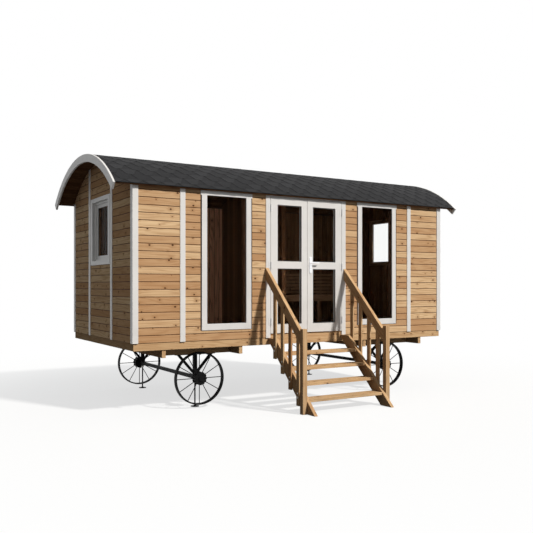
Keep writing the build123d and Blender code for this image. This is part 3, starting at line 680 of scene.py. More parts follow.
def clear_glass(colours):
    """Glazing: tinted transmission with a film of dust, open to light that passes towards the room."""
    tree, shader = new_finish("clear_glass", roughness=0.0)
    shader.inputs["Transmission Weight"].default_value = 1.0
    shader.inputs["IOR"].default_value = GLASS_INDEX
    at = place_in(tree)
    film = noise(tree, at, 5.0, 5.0, 0.65)
    dusty = [channel * 0.97 for channel in colours.glass_tint]
    wire(tree, blend(tree, film, colours.glass_tint, dusty), shader.inputs["Base Color"])
    wire(tree, between(tree, film, 0.5, 0.9, 0.0, 0.03), shader.inputs["Roughness"])
    open_pane = tree.nodes.new("ShaderNodeBsdfTransparent")
    open_pane.inputs["Color"].default_value = (*colours.glass_shade, 1)
    shadow = tree.nodes.new("ShaderNodeLightPath").outputs["Is Shadow Ray"]
    mixed = mix_shaders(tree, shadow, shader, open_pane)
    wire(tree, mixed, tree.nodes["Material Output"].inputs["Surface"])


def jointed_boards(name, across, grain, pitch, light, deep):
    """Boards drawn on a plain sheet of timber: joints at a pitch, and a tone for each board."""
    tree, shader = new_finish(name, roughness=0.6, specular=0.3)
    side = parts(tree, place_in(tree))[across.upper()]
    joints = use_group(tree, "board_joints", Across=side, Pitch=pitch, Width=0.004)
    along, beside, above = parts(tree, grain_place(tree, grain))
    shifted = calc(tree, "MULTIPLY_ADD", joints["Board"], DRAWN_SHIFT, along)
    own = vector(tree, shifted, beside, above)
    figure = use_group(tree, "pine_figure", Place=own, Knots=0.3)
    colour = blend(tree, joints["Board"], light, deep)
    colour = blend(tree, between(tree, figure["Streaks"], 0.35, 0.7, 0.0, 0.5), colour, deep)
    colour = blend(tree, calc(tree, "MULTIPLY", figure["Knot"], 0.7), colour, INNER_KNOT)
    colour = blend(tree, joints["Joint"], colour, INNER_JOINT)
    wire(tree, colour, shader.inputs["Base Color"])
    height = calc(tree, "SUBTRACT", calc(tree, "MULTIPLY", figure["Height"], 0.15), joints["Joint"])
    bump(tree, shader, height, distance=0.003, strength=0.8)


tread_corners = sorted((low.tolist() for low, _ in solids("treads")), key=lambda corner: corner[2])
STAIR_SLOPE = math.atan2(
    tread_corners[-1][2] - tread_corners[0][2], tread_corners[-1][1] - tread_corners[0][1]
)


def make_finishes(colours):
    """Every finish, and the finish of each node that stays as it is."""
    for group in (figure_group, wear_group, dust_group, joint_group):
        group()
    light, deep = colours.pine_light, colours.pine_deep
    pine("cladding_boards", board_place, light, deep, knots=0.85, joint=0.9)
    light, deep = colours.timber_light, colours.timber_deep
    # Knots, low dust, and painted shade on the sides that face along the wagon.
    knots_dust_and_side_shade = {"knots": 0.8, "dust": 0.25, "side_shade": 0.45}
    for grain in "xyz":
        pine(f"frame_timber_{grain}", timber_place(grain), light, deep, **knots_dust_and_side_shade)
    pine("stair_timber_slope", timber_place("y", STAIR_SLOPE), light, deep, **knots_dust_and_side_shade)
    light, deep = colours.lining_light, colours.lining_deep
    pine("lining_boards", board_place, light, deep, knots=0.3, joint=0.8, painted_room_light=colours.left_room_painted_light)
    pine("post_timber", timber_place("z"), deep, deep, knots=0.3)
    jointed_boards("wall_core", "x", "z", pitch=0.1, light=deep, deep=WALL_CORE_DEEP)
    jointed_boards("partition_boards", "y", "z", pitch=0.1, light=light, deep=deep)
    jointed_boards("floor_planks", "y", "x", pitch=0.12, light=light, deep=deep)
    light, deep = colours.bench_light, colours.bench_deep
    for grain in "xy":
        pine(f"bench_timber_{grain}", timber_place(grain), light, deep, knots=0.3)
    pine("roof_board_timber", board_place, colours.soffit_light, colours.soffit_deep, knots=0.4)
    white_paint(colours)
    near, far = solids("gable_panes")[0]
    white_paint(colours, "gable_window_paint", bare_inside=abs(near[0] + far[0]) / 2)
    shingle_felt(colours)
    painted_steel(colours)
    bright_steel()
    hinge_steel(colours)
    zinc_steel()
    rubber_seal()
    clear_glass(colours)
    kept = {
        "wall_core": (
            "front_wall_left", "front_wall_right", "door_lintel", "rear_wall", "left_gable_wall",
            "right_gable_wall",
        ),
        "partition_boards": ("partition",),
        "floor_planks": ("floor",),
        "frame_timber_y": ("floor_joists",),
        "shingle_felt": ("roof_covering",),
        "clear_glass": ("front_window_panes", "gable_panes", "left_door_panes", "right_door_panes"),
        "hinge_steel": ("frame_hinges", "left_door_hinges", "right_door_hinges"),
    }
    for finish, nodes in kept.items():
        for node in nodes:
            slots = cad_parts[node].data.materials
            slots.clear()
            slots.append(bpy.data.materials[finish])


# Boards

# LEAST_COURSE is a share of the pitch, MOST_EASE one of a board's width, and the lengths are in metres.
LEAST_BOARD = 0.004
LEAST_GABLE_BOARD = 0.01
LEAST_COURSE = 0.05
MOST_EASE = 0.45
FIGURE_SPREAD = 20
ARCH_STATIONS = 17
ARCH_MARGIN = 0.006


def free_spans(start, end, low, high, blocks):
    """The rectangles (start, end, low, high) of one course that the blocks leave free."""
    edges = {start, end}
    for near, far, _, _ in blocks:
        edges |= {edge for edge in (near, far) if start < edge < end}
    edges = sorted(edges)
    found = []
    for near, far in zip(edges, edges[1:]):
        middle = (near + far) / 2
        strips = [(low, high)]
        for block in blocks:
            if block[0] < middle < block[1]:
                strips = [
                    piece
                    for bottom, top in strips
                    for piece in ((bottom, min(top, block[2])), (max(bottom, block[3]), top))
                    if piece[1] - piece[0] > LEAST_BOARD
                ]
        for bottom, top in strips:
            last = found[-1] if found else None
            if last and last[1] == near and last[2:] == (bottom, top):
                found[-1] = (last[0], far, bottom, top)
            else:
                found.append((near, far, bottom, top))
    return [span for span in found if span[1] - span[0] > LEAST_BOARD]


def plank_wall(name, spans, section, finish, at, seed, stations=2, top=None, end_top=None):
    """Boards with eased joints as lofts: corners run round each board's section.

    spans rows are (start, end, low, high) along and across the boards, and section is their
    thickness, chamfer and gap. at(along, across, out) gives the place. top(along) limits a board's
    upper edge, and end_top(across) limits its far end.
    """
    thickness, chamfer, gap = section
    random = np.random.default_rng(seed)
    start, end, low, high = (column[:, None, None] for column in np.array(spans, float).T)
    share = np.linspace(0, 1, stations)[None, :, None]
    along = start + (end - start) * share + np.zeros((1, 1, 6))
    low = low + gap / 2 + 0 * along[..., :1]
    high = high - gap / 2 + 0 * along[..., :1]
    if top is not None:
        high = np.maximum(np.minimum(high, top(along[..., :1])), low)
    ease = np.minimum(chamfer, (high - low) * MOST_EASE)
    across = np.concatenate((low, low, low + ease, high - ease, high, high), axis=2)
    out = np.array([0, thickness - chamfer, thickness, thickness, thickness - chamfer, 0])
    if end_top is not None:
        along = np.minimum(along, end_top(across))
    tone = np.broadcast_to(random.random(len(start))[:, None, None], across.shape)
    shift = random.random(len(start))[:, None, None] * FIGURE_SPREAD
    uv = np.stack((along + shift, across), axis=-1)
    rings = np.stack(np.broadcast_arrays(*at(along, across, out + 0 * across)), axis=-1)
    rim = np.broadcast_to(np.array([1, 1, 0, 0, 1, 1]), across.shape)
    return loft(name, rings, finish, uv=uv, tone=tone, rim=rim)


def node_block(solid, axis):
    """A solid as a block (start, end, low, high) on a wall whose length runs along an axis."""
    low, high = solid
    return (low[axis], high[axis], low[2], high[2])


def on_side(nodes, axis, sign, level):
    """The solids of some nodes that stand out past a level along an axis, as blocks on that wall."""
    along = 1 - axis
    return [
        node_block(solid, along)
        for node in nodes
        for solid in solids(node)
        if (solid[1][axis] > level if sign > 0 else solid[0][axis] < level)
    ]


def course_spans(start, end, pitch, blocks, low, high):
    """Free rectangles of every course from low to high."""
    count = int(np.ceil((high - low) / pitch - LEAST_COURSE))
    spans = []
    for course in range(count):
        bottom = low + course * pitch
        spans += free_spans(start, end, bottom, min(bottom + pitch, high), blocks)
    return spans


TRIM_NODES = ("corner_boards", "wall_battens", "front_window_casings", "door_frame")
GABLE_NODES = ("corner_boards", "gable_battens", "gable_window_frames")


def build_cladding(sizes):
    """Courses of boards on all four walls, stopped against the trim and cut by the roof."""
    section = (sizes.board_thickness, sizes.board_ease, sizes.board_gap)
    for name, sign, face in (("front_cladding", -1, FRONT), ("rear_cladding", 1, REAR)):
        blocks = on_side(TRIM_NODES, 1, sign, face + sign * TRIM / 2)
        top = float(under_roof(face + sign * sizes.board_thickness))
        spans = course_spans(-WALL_X, WALL_X, sizes.board_pitch, blocks, FLOOR_LINE, top)
        piece = plank_wall(
            name, spans, section, "cladding_boards",
            lambda along, across, out, face=face, sign=sign: (along, face + sign * out, across),
            seed=sizes.seed + (sign > 0),
        )
        settle(piece, "wagon", "cladding_pine")
    for name, sign in (("left_gable_cladding", -1), ("right_gable_cladding", 1)):
        blocks = on_side(GABLE_NODES, 0, sign, sign * (WALL_X + TRIM / 2))
        spans = course_spans(FRONT, REAR, sizes.board_pitch, blocks, FLOOR_LINE, CROWN)
        spans = [clip_to_arch(span) for span in spans]
        spans = [span for span in spans if span[1] - span[0] > LEAST_GABLE_BOARD]
        piece = plank_wall(
            name, spans, section, "cladding_boards",
            lambda along, across, out, sign=sign: (sign * (WALL_X + out), along, across),
            stations=ARCH_STATIONS, top=under_roof, seed=sizes.seed + 2 + (sign > 0),
        )
        settle(piece, "wagon", "cladding_pine")


def clip_to_arch(span):
    """A gable span shortened to where the roof's underside is above its lower edge."""
    start, end, low, high = span
    reach = math.sqrt(max(CEILING_RADIUS**2 - (low + ARCH_MARGIN - ROOF_CENTRE) ** 2, 0))
    return (max(start, MIDDLE - reach), min(end, MIDDLE + reach), low, high)


def build_lining(sizes):
    """Upright boards on the inner faces of the walls, cut by the roof above."""
    section = (sizes.lining_thickness, sizes.lining_bevel, sizes.board_gap)
    door_lap, window_lap, roof_gap = 0.05, 0.07, 0.02
    openings = solids("front_window_panes")
    door_low, door_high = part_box("door_frame")
    front_blocks = [(low[2], high[2], low[0], high[0]) for low, high in openings]
    front_blocks.append((door_low[2], door_high[2], door_low[0] + door_lap, door_high[0] - door_lap))
    top = float(under_roof(FRONT_INSIDE)) - roof_gap
    low, high = solids("gable_window_frames")[0]
    gable_block = (
        low[2] + window_lap, high[2] - window_lap, low[1] + window_lap, high[1] - window_lap,
    )
    for name, face, sign, blocks in (
        ("front_lining", FRONT_INSIDE, 1, front_blocks), ("rear_lining", REAR_INSIDE, -1, []),
    ):
        spans = upright_spans(-WALL_INSIDE, WALL_INSIDE, sizes.lining_pitch, blocks, FLOOR_TOP, top)
        piece = plank_wall(
            name, spans, section, "lining_boards",
            lambda along, across, out, face=face, sign=sign: (across, face + sign * out, along),
            seed=sizes.seed + 5,
        )
        settle(piece, "wagon", "lining_pine")
    for name, sign in (("left_gable_lining", -1), ("right_gable_lining", 1)):
        spans = upright_spans(
            FRONT_INSIDE, REAR_INSIDE, sizes.lining_pitch, [gable_block], FLOOR_TOP, CROWN
        )
        piece = plank_wall(
            name, spans, section, "lining_boards",
            lambda along, across, out, sign=sign: (sign * (WALL_INSIDE - out), across, along),
            end_top=under_roof, seed=sizes.seed + 6,
        )
        settle(piece, "wagon", "lining_pine")


def upright_spans(start, end, pitch, blocks, low, high):
    """Free rectangles of upright boards, given along then across."""
    count = int(np.ceil((end - start) / pitch))
    spans = []
    for number in range(count):
        near = start + number * pitch
        far = min(near + pitch, end)
        spans += free_spans(low, high, near, far, blocks)
    return spans


# Roof


def on_roof(x, arc, lift):
    """A place on the barrel: arc is the distance from the crown towards the door side."""
    angle = arc / ROOF_RADIUS
    radius = ROOF_RADIUS + lift
    return x, MIDDLE - radius * np.sin(angle), ROOF_CENTRE + radius * np.cos(angle)


def build_roof_boards(sizes):
    """Flat boards laid side by side round the barrel, each a six-cornered section along X."""
    clearance = 0.0005
    depth = DECK_RADIUS - CEILING_RADIUS
    arc = ROOF_ARC * DECK_RADIUS / ROOF_RADIUS
    count = round(2 * arc / sizes.roof_board_width)
    middle = (np.arange(count) + 0.5) / count * 2 * arc - arc
    half = arc / count - sizes.roof_board_gap / 2
    ease = sizes.roof_board_ease
    across = np.array([-half, half, half, half - ease, ease - half, -half])
    rise = np.array([0, 0, ease - depth, -depth, -depth, ease - depth])
    angle = (middle / DECK_RADIUS)[:, None, None]
    radial = DECK_RADIUS * np.cos(half / DECK_RADIUS) - clearance + rise
    y = MIDDLE - (radial * np.sin(angle) + across * np.cos(angle))
    z = ROOF_CENTRE + (radial * np.cos(angle) - across * np.sin(angle))
    stations = np.array([-ROOF_X, ROOF_X])[None, :, None]
    rings = np.stack(np.broadcast_arrays(stations, y, z), axis=-1)
    random = np.random.default_rng(sizes.seed + 9)
    tone = np.broadcast_to(random.random(count)[:, None, None], rings.shape[:-1])
    uv = np.stack(np.broadcast_arrays(stations + 0 * y, across + middle[:, None, None]), axis=-1)
    boards = loft("roof_boards", rings, "roof_board_timber", uv=uv, tone=tone)
    settle(boards, "wagon", "roof_boards", "roof_deck")


def tab_rings(centre_x, edge, side, sizes, random):
    """Six-sided shingle tabs: stations run across a tab, corners run round its section.

    A tab's lower edge drops by its drop, less the further a place is from the tab's flat middle. Each
    tab reaches a little under the course above it.
    """
    cover, figure_reach, most_curl = 1.05, 2.05, 0.0006
    half = sizes.tab_width / 2
    flat = sizes.tab_flat / 2
    local = np.array([-half + sizes.tab_slot / 2, -flat, 0, flat, half - sizes.tab_slot / 2])
    x = np.clip(centre_x[:, None] + local, -ROOF_X, ROOF_X)
    from_middle = np.abs(x - centre_x[:, None])
    drop = sizes.tab_drop * np.clip((half - from_middle) / (half - flat), 0, 1)
    high = edge[:, None] - sizes.tab_drop * cover
    low = np.minimum(edge[:, None] - sizes.tab_drop + drop, ROOF_ARC + sizes.eave_lip)
    thick = sizes.tab_thickness
    middle = (high + low) / 2
    curl = random.random((len(centre_x), 1)) * most_curl
    arc = np.stack((high + 0 * low, middle, low, low, middle, high + 0 * low), axis=-1)
    top_lift = np.stack((0 * low + thick, 0 * low + 1.5 * thick, 0 * low + 2 * thick + curl), axis=-1)
    base_lift = np.stack((0 * low + thick, 0 * low + thick / 2, 0 * low), axis=-1)
    lift = np.concatenate((top_lift, base_lift), axis=-1)
    rings = np.stack(on_roof(x[..., None] + 0 * arc, side * arc, lift), axis=-1)
    reach = (arc - high[..., None]) / (figure_reach * sizes.tab_drop)
    uv = np.stack((x[..., None] + 0 * arc, reach), axis=-1)
    tone = np.broadcast_to(random.random(len(centre_x))[:, None, None], arc.shape)
    rim = np.broadcast_to(np.array([0, 0, 1, 1, 0, 0]), arc.shape)
    return rings, uv, tone, rim


def build_shingles(sizes):
    """Courses of six-sided tabs from both eaves to the crown, and a row of caps over the crown."""
    least_width, least_height = 0.01, 0.6
    random = np.random.default_rng(sizes.seed + 11)
    courses = int(np.ceil(ROOF_ARC / sizes.tab_drop)) + 1
    tabs = int(np.ceil(ROOF_X / sizes.tab_width)) + 1
    for side, name in ((1, "front_shingles"), (-1, "rear_shingles")):
        course = np.repeat(np.arange(courses), 2 * tabs + 1)
        number = np.tile(np.arange(-tabs, tabs + 1), courses)
        centre = (number + 0.5 * (course % 2)) * sizes.tab_width
        keep = np.abs(centre) < ROOF_X + sizes.tab_width / 2 - least_width
        edge = ROOF_ARC + sizes.eave_lip + sizes.tab_drop / 2 - course * sizes.tab_drop
        keep &= edge > sizes.tab_drop * least_height
        rings, uv, tone, rim = tab_rings(centre[keep], edge[keep], side, sizes, random)
        settle(loft(name, rings, "shingle_felt", uv=uv, tone=tone, rim=rim), "wagon", "shingles")
    build_ridge_caps(sizes, random)


def build_ridge_caps(sizes, random):
    """Bent caps in a row over the crown, each with its start raised over the end of the one before."""
    bends, lap, start_lift, tab_place = 9, 1.02, 0.35, 0.7
    count = int(np.ceil(2 * ROOF_X / sizes.cap_step))
    start = -ROOF_X + np.arange(count) * 2 * ROOF_X / count
    arc = np.linspace(-sizes.cap_reach, sizes.cap_reach, bends)
    length = 2 * ROOF_X / count
    x = np.stack((start, np.minimum(start + length * lap, ROOF_X)), axis=-1)
    thick = sizes.tab_thickness
    profile = np.concatenate((arc, arc[::-1]))
    lift = np.concatenate((np.full(bends, 2 * thick), np.full(bends, thick)))
    step = np.array([start_lift, 0.0])[None, :, None] * thick
    rings = np.stack(
        np.broadcast_arrays(*on_roof(x[..., None], profile[None, None, :], lift + step)), axis=-1
    )
    tone = np.broadcast_to(random.random(count)[:, None, None], rings.shape[:-1])
    uv = np.stack(np.broadcast_arrays(x[..., None], tab_place + 0 * profile[None, None, :]), axis=-1)
    settle(loft("ridge_caps", rings, "shingle_felt", uv=uv, tone=tone), "wagon", "shingles")


def build_bargeboards(sizes):
    """Curved boards at both gables: an eased rectangle carried round the barrel."""
    for name in ("left_bargeboard", "right_bargeboard"):
        low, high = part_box(name)
        outer = high.z - ROOF_CENTRE
        angle = math.asin((high.y - MIDDLE) / outer)
        points = corners(name)
        inner = np.hypot(points[:, 1] - MIDDLE, points[:, 2] - ROOF_CENTRE).min()
        ease = sizes.trim_ease
        x = np.array([low.x, low.x, low.x + ease, high.x - ease, high.x, high.x, high.x - ease, low.x + ease])
        radius = np.array(
            [inner + ease, outer - ease, outer, outer, outer - ease, inner + ease, inner, inner]
        )
        turn = np.linspace(-angle, angle, sizes.arch_steps)[:, None]
        points = np.broadcast_arrays(
            x, MIDDLE - radius * np.sin(turn), ROOF_CENTRE + radius * np.cos(turn)
        )
        piece = loft(f"{name}_eased", np.stack(points, axis=-1)[None], "white_paint")
        smooth(piece)
        settle(piece, "wagon", "white_trim", name)


# Timbers and trim


def build_timbers(sizes):
    """Sills, bearers, stairs, bench and posts with eased arrises and their own grain."""
    for nodes, finish, slot in (
        (("long_sills", "bearer_rails", "threshold"), "frame_timber_x", "frame_pine"),
        (("end_sills", "cross_bearers"), "frame_timber_y", "frame_pine"),
        (("treads",), "frame_timber_x", "stair_pine"),
        (("newels", "balusters"), "frame_timber_z", "stair_pine"),
        (("stringers", "handrails"), "stair_timber_slope", "stair_pine"),
        (("bench_slats", "bench_front_board", "backrest"), "bench_timber_x", "lining_pine"),
        (("bench_supports",), "bench_timber_y", "lining_pine"),
        (("partition_post",), "post_timber", "lining_pine"),
    ):
        for node in nodes:
            settle(eased(node, finish, sizes.timber_ease), "wagon", slot, node)


def build_trim(sizes):
    """White boards, window frames and door leaves with eased arrises."""
    boards = ("corner_boards", "wall_battens", "gable_battens", "front_window_casings", "door_frame")
    for body, finish, nodes in (
        ("wagon", "white_paint", boards),
        ("wagon", "gable_window_paint", ("gable_window_frames", "gable_sashes")),
        ("left_door", "white_paint", ("left_door_leaf",)),
        ("right_door", "white_paint", ("right_door_leaf",)),
    ):
        for node in nodes:
            settle(eased(node, finish, sizes.trim_ease), body, "white_trim", node)


def ring_frame(name, rects, width, near, far, finish, axis=1):
    """Mitred rings round rectangles: stations are the four corners, and a ring's section is a box."""
    rects = np.array(rects, float)
    start, end, low, high = rects.T
    signs = np.array([(-1, -1), (1, -1), (1, 1), (-1, 1)])
    middle = np.stack(((start + end) / 2, (low + high) / 2), axis=-1)
    half = np.stack(((end - start) / 2, (high - low) / 2), axis=-1)
    inset = np.array([0, width, width, 0])
    depth = np.array([near, near, far, far])
    flat = middle[:, None, None] + signs[None, :, None] * (half[:, None, None] - inset[:, None])
    along, up = flat[..., 0], flat[..., 1]
    across = np.broadcast_to(depth, along.shape)
    order = (along, across, up) if axis == 1 else (across, along, up)
    return loft(name, np.stack(order, axis=-1), finish, closed=True)


def build_seals(sizes):
    """Black rubber round every pane, and white glazing beads on the inner side of the door's panes."""
    width, depth = sizes.seal_width, sizes.seal_depth
    lap = sizes.glazing_lap
    fronts = solids("front_window_panes")
    rects = [(low[0] + lap, high[0] - lap, low[2] + lap, high[2] - lap) for low, high in fronts]
    face = fronts[0][0][1]
    piece = ring_frame("front_window_seals", rects, width, face - depth, face, "rubber_seal")
    settle(piece, "wagon", "window_glass")
    for side, (low, high) in zip((-1, 1), sorted(solids("gable_panes"), key=lambda box: box[0][0])):
        face = low[0] if side < 0 else high[0]
        rect = [(low[1], high[1], low[2], high[2])]
        name = "left_gable_seal" if side < 0 else "right_gable_seal"
        piece = ring_frame(name, rect, width, face + side * depth, face, "rubber_seal", axis=0)
        settle(piece, "wagon", "window_glass")
    for side in ("left", "right"):
        panes = solids(f"{side}_door_panes")
        rects = [(low[0], high[0], low[2], high[2]) for low, high in panes]
        face = FRONT - TRIM
        piece = ring_frame(
            f"{side}_door_seals", rects, sizes.gasket_width, face - depth / 2, face + depth, "rubber_seal"
        )
        settle(piece, f"{side}_door", "window_glass")
        back = panes[0][1][1]
        beads = ring_frame(
            f"{side}_door_beads", rects, sizes.bead_width, back, back + sizes.bead_width, "white_paint"
        )
        settle(beads, f"{side}_door", "white_trim")


# Running gear

HUB_BOLTS = 6
HEXAGON = 6
ROW_MARGIN = 0.002
PLATE_SIDES = 48


def wheels():
    """Each wheel's name, with the low corner, the high corner and the middle of its box."""
    for row in ("front", "rear"):
        for end in ("left", "right"):
            low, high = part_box(f"{row}_{end}_wheel")
            yield f"{row}_{end}", low, high, (low + high) / 2


def build_wheels(sizes):
    """Wheels that turn about the Y axis, each with a rim, a hub and its spokes."""
    for wheel, low, high, centre in wheels():
        outer = (high.z - low.z) / 2
        build_rim(wheel, centre, outer, sizes)
        build_hub(wheel, centre, (high.y - low.y) / 2, sizes)
        build_spokes(wheel, centre, outer - sizes.rim_thickness, sizes)


def build_rim(wheel, centre, outer, sizes):
    """A rim band: a rectangle with eased corners, turned about the axle."""
    half = sizes.rim_width / 2
    ease = sizes.steel_ease
    inner = outer - sizes.rim_thickness
    profile = [
        (outer, ease - half), (outer, half - ease), (outer - ease, half), (inner + ease, half),
        (inner, half - ease), (inner, ease - half), (inner + ease, -half), (outer - ease, -half),
    ]
    rings = round_section(profile, centre, sizes.wheel_steps)
    rim = loft(f"{wheel}_wheel_rim", rings[None], "painted_steel", closed=True)
    smooth(rim)
    settle(rim, f"{wheel}_hub", "black_steel", f"{wheel}_wheel")


def build_hub(wheel, centre, half, sizes):
    """A drum between two flanges, whose radius falls in a cosine dip at each scallop."""
    flange, drum, bore = sizes.hub_flange, sizes.hub_drum, sizes.hub_bore
    thick, ease = sizes.hub_flange_thickness, sizes.steel_ease
    profile = [
        (bore, -half), (flange - ease, -half), (flange, ease - half), (flange, thick - half),
        (drum, thick - half), (drum, half - thick), (flange, half - thick), (flange, half - ease),
        (flange - ease, half), (bore, half),
    ]
    angle = np.linspace(0, 2 * np.pi, sizes.wheel_steps, endpoint=False)
    dip = np.clip(np.cos(sizes.hub_scallops * (angle - np.pi / sizes.hub_scallops)), 0, 1)
    rings = round_section(profile, centre, sizes.wheel_steps, dip * sizes.hub_scallop_depth, drum)
    hub = loft(f"{wheel}_wheel_hub", rings[None], "painted_steel", closed=True)
    smooth(hub)
    settle(hub, f"{wheel}_hub", "black_steel")


def build_spokes(wheel, centre, inner, sizes):
    """Round spokes from the drum to the rim, thicker where they are welded in."""
    sides, weld_run, drum_sink, rim_sink, weld_swell = 14, 0.004, 0.002, 0.001, 1.7
    turn = np.arange(sizes.spoke_count) * 2 * np.pi / sizes.spoke_count
    outward = np.stack((np.cos(turn), 0 * turn, np.sin(turn)), axis=-1)
    beside = np.stack((-np.sin(turn), 0 * turn, np.cos(turn)), axis=-1)
    round_angle = np.linspace(0, 2 * np.pi, sides, endpoint=False)
    section = sizes.spoke_radius * (
        np.cos(round_angle)[:, None] * beside[:, None]
        + np.sin(round_angle)[:, None] * np.array((0, 1, 0))
    )
    drum = sizes.hub_drum
    reach = np.array([drum - drum_sink, drum + weld_run, inner - weld_run, inner + rim_sink])
    swell = np.array([weld_swell, 1.0, 1.0, weld_swell])
    rings = (
        np.array(centre)
        + reach[None, :, None, None] * outward[:, None, None]
        + swell[None, :, None, None] * section[:, None]
    )
    spokes = loft(f"{wheel}_wheel_spokes", rings, "painted_steel")
    smooth(spokes)
    settle(spokes, f"{wheel}_hub", "black_steel", f"{wheel}_spokes")


def round_section(profile, centre, steps, dip=0.0, fixed=0.0):
    """A section of (radius, Y) rows turned about the Y axis. Rows past the fixed radius dip inwards."""
    radius, rise = np.array(profile, float).T
    angle = np.linspace(0, 2 * np.pi, steps, endpoint=False)[:, None]
    outer_rows = np.where(radius > fixed + ROW_MARGIN, 1, 0)
    radius = radius - outer_rows * np.broadcast_to(dip, (steps,))[:, None]
    x = centre.x + radius * np.cos(angle)
    z = centre.z + radius * np.sin(angle)
    return np.stack(np.broadcast_arrays(x, centre.y + rise, z), axis=-1)


def build_running_gear(sizes):
    """Axle frames with eased arrises, jacks, and bolts in the plates and the hubs."""
    for side in ("left", "right"):
        node = f"{side}_axle_frame"
        piece = eased(node, "painted_steel", sizes.steel_ease, rounded=True)
        settle(piece, "wagon", "black_steel", node)
    feet = solids("jack_feet")
    build_jack_rods(feet, sizes)
    build_jack_ends(feet, sizes)
    build_plate_bolts(sizes)
    build_hub_bolts(sizes)


def build_jack_rods(feet, sizes):
    """Threaded rods, whose radius is a triangle wave of the height less the share of a turn."""
    steps = int(sizes.thread_samples * (feet[0][1][2] - sizes.foot_thickness) / sizes.thread_pitch)
    angle = np.linspace(0, 2 * np.pi, sizes.thread_sides, endpoint=False)
    rings = []
    for low, high in feet:
        x, y, _ = (low + high) / 2
        z = np.linspace(low[2] + sizes.foot_thickness, high[2] - sizes.nut_height, steps)[:, None]
        phase = z / sizes.thread_pitch - angle / (2 * np.pi)
        wave = 2 * np.abs(phase - np.floor(phase) - 0.5)
        radius = sizes.rod_radius - sizes.thread_depth * wave
        points = np.broadcast_arrays(x + radius * np.cos(angle), y + radius * np.sin(angle), z)
        rings.append(np.stack(points, axis=-1))
    rods = loft("jack_rods", np.array(rings), "painted_steel")
    smooth(rods)
    settle(rods, "wagon", "black_steel", "jack_feet")


def build_jack_ends(feet, sizes):
    """A round foot plate with a collar under each rod, and a nut at its top."""
    plates, nuts = [], []
    for low, high in feet:
        x, y, _ = (low + high) / 2
        plates.append((x, y, low[2]))
        nuts.append((x, y, high[2] - sizes.nut_height))
    foot, thick, ease = sizes.foot_radius, sizes.foot_thickness, sizes.steel_ease
    collar = sizes.rod_radius * 1.9
    profile = [
        (foot - ease, 0), (foot, ease), (foot, thick - ease), (foot - ease, thick), (collar, thick),
        (collar * 0.85, thick + collar * 0.5), (sizes.rod_radius, thick + collar * 0.6),
    ]
    rings = disc_rings(plates, (0, 0, 1), profile, PLATE_SIDES)
    plate = loft("jack_foot_plates", rings, "painted_steel")
    smooth(plate)
    settle(plate, "wagon", "black_steel")
    across, tall = sizes.nut_radius, sizes.nut_height
    profile = [(across * 0.86, 0), (across, tall * 0.08), (across, tall * 0.92), (across * 0.86, tall)]
    nut = loft("jack_nuts", disc_rings(nuts, (0, 0, 1), profile, HEXAGON), "zinc_steel")
    settle(nut, "wagon", "black_steel")


def build_plate_bolts(sizes):
    """Hexagon bolt heads under the axle plates, four in a row under each bearer rail."""
    rail_reach, washer = 0.3, 0.0015
    heads = []
    for side in ("left", "right"):
        low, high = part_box(f"{side}_axle_frame")
        x = (low.x + high.x) / 2
        under = high.z - sizes.plate_thickness
        for rail_low, rail_high in solids("bearer_rails"):
            if abs((rail_low[0] + rail_high[0]) / 2 - x) > rail_reach:
                continue
            y = (rail_low[1] + rail_high[1]) / 2
            for reach in (-sizes.bolt_reach, -sizes.bolt_reach / 3, sizes.bolt_reach / 3, sizes.bolt_reach):
                heads.append((x + reach, y, under))
    radius = sizes.bolt_radius
    profile = [
        (radius * 1.35, 0), (radius * 1.35, -washer), (radius, -washer), (radius, -radius * 0.8),
        (radius * 0.85, -radius * 0.95),
    ]
    piece = loft("plate_bolts", disc_rings(heads, (0, 0, 1), profile, HEXAGON), "zinc_steel")
    settle(piece, "wagon", "black_steel")


def build_hub_bolts(sizes):
    """Hexagon bolt heads in a ring on the outer face of each hub."""
    radius, ring = sizes.hub_bolt_radius, sizes.hub_bolt_circle
    profile = [(radius, 0), (radius, radius * 0.6), (radius * 0.8, radius * 0.8)]
    for wheel, low, high, centre in wheels():
        outward, face = outer_face(low, high, 1, MIDDLE)
        places = [
            (centre.x + ring * math.cos(turn), face, centre.z + ring * math.sin(turn))
            for turn in np.arange(HUB_BOLTS) * 2 * math.pi / HUB_BOLTS
        ]
        rings = disc_rings(places, (0, outward, 0), profile, HEXAGON)
        settle(loft(f"{wheel}_hub_bolts", rings, "painted_steel"), f"{wheel}_hub", "black_steel")


# Fittings


def screw_heads(name, places, axis, radius, body, slot, finish="zinc_steel"):
    """Screw heads: a low dome with a sunk middle, as a turned profile."""
    sides = 12
    profile = [
        (radius, 0), (radius * 0.92, radius * 0.18), (radius * 0.45, radius * 0.3),
        (radius * 0.35, radius * 0.05), (radius * 0.12, radius * 0.02),
    ]
    settle(loft(name, disc_rings(places, axis, profile, sides), finish), body, slot)


def build_screws(sizes):
    """Screws in the trim, the stairs and the hinges, and coach bolts in the balusters."""
    build_trim_screws(sizes)
    build_stair_screws(sizes)
    build_rail_bolts(sizes)
    build_hinge_screws(sizes)


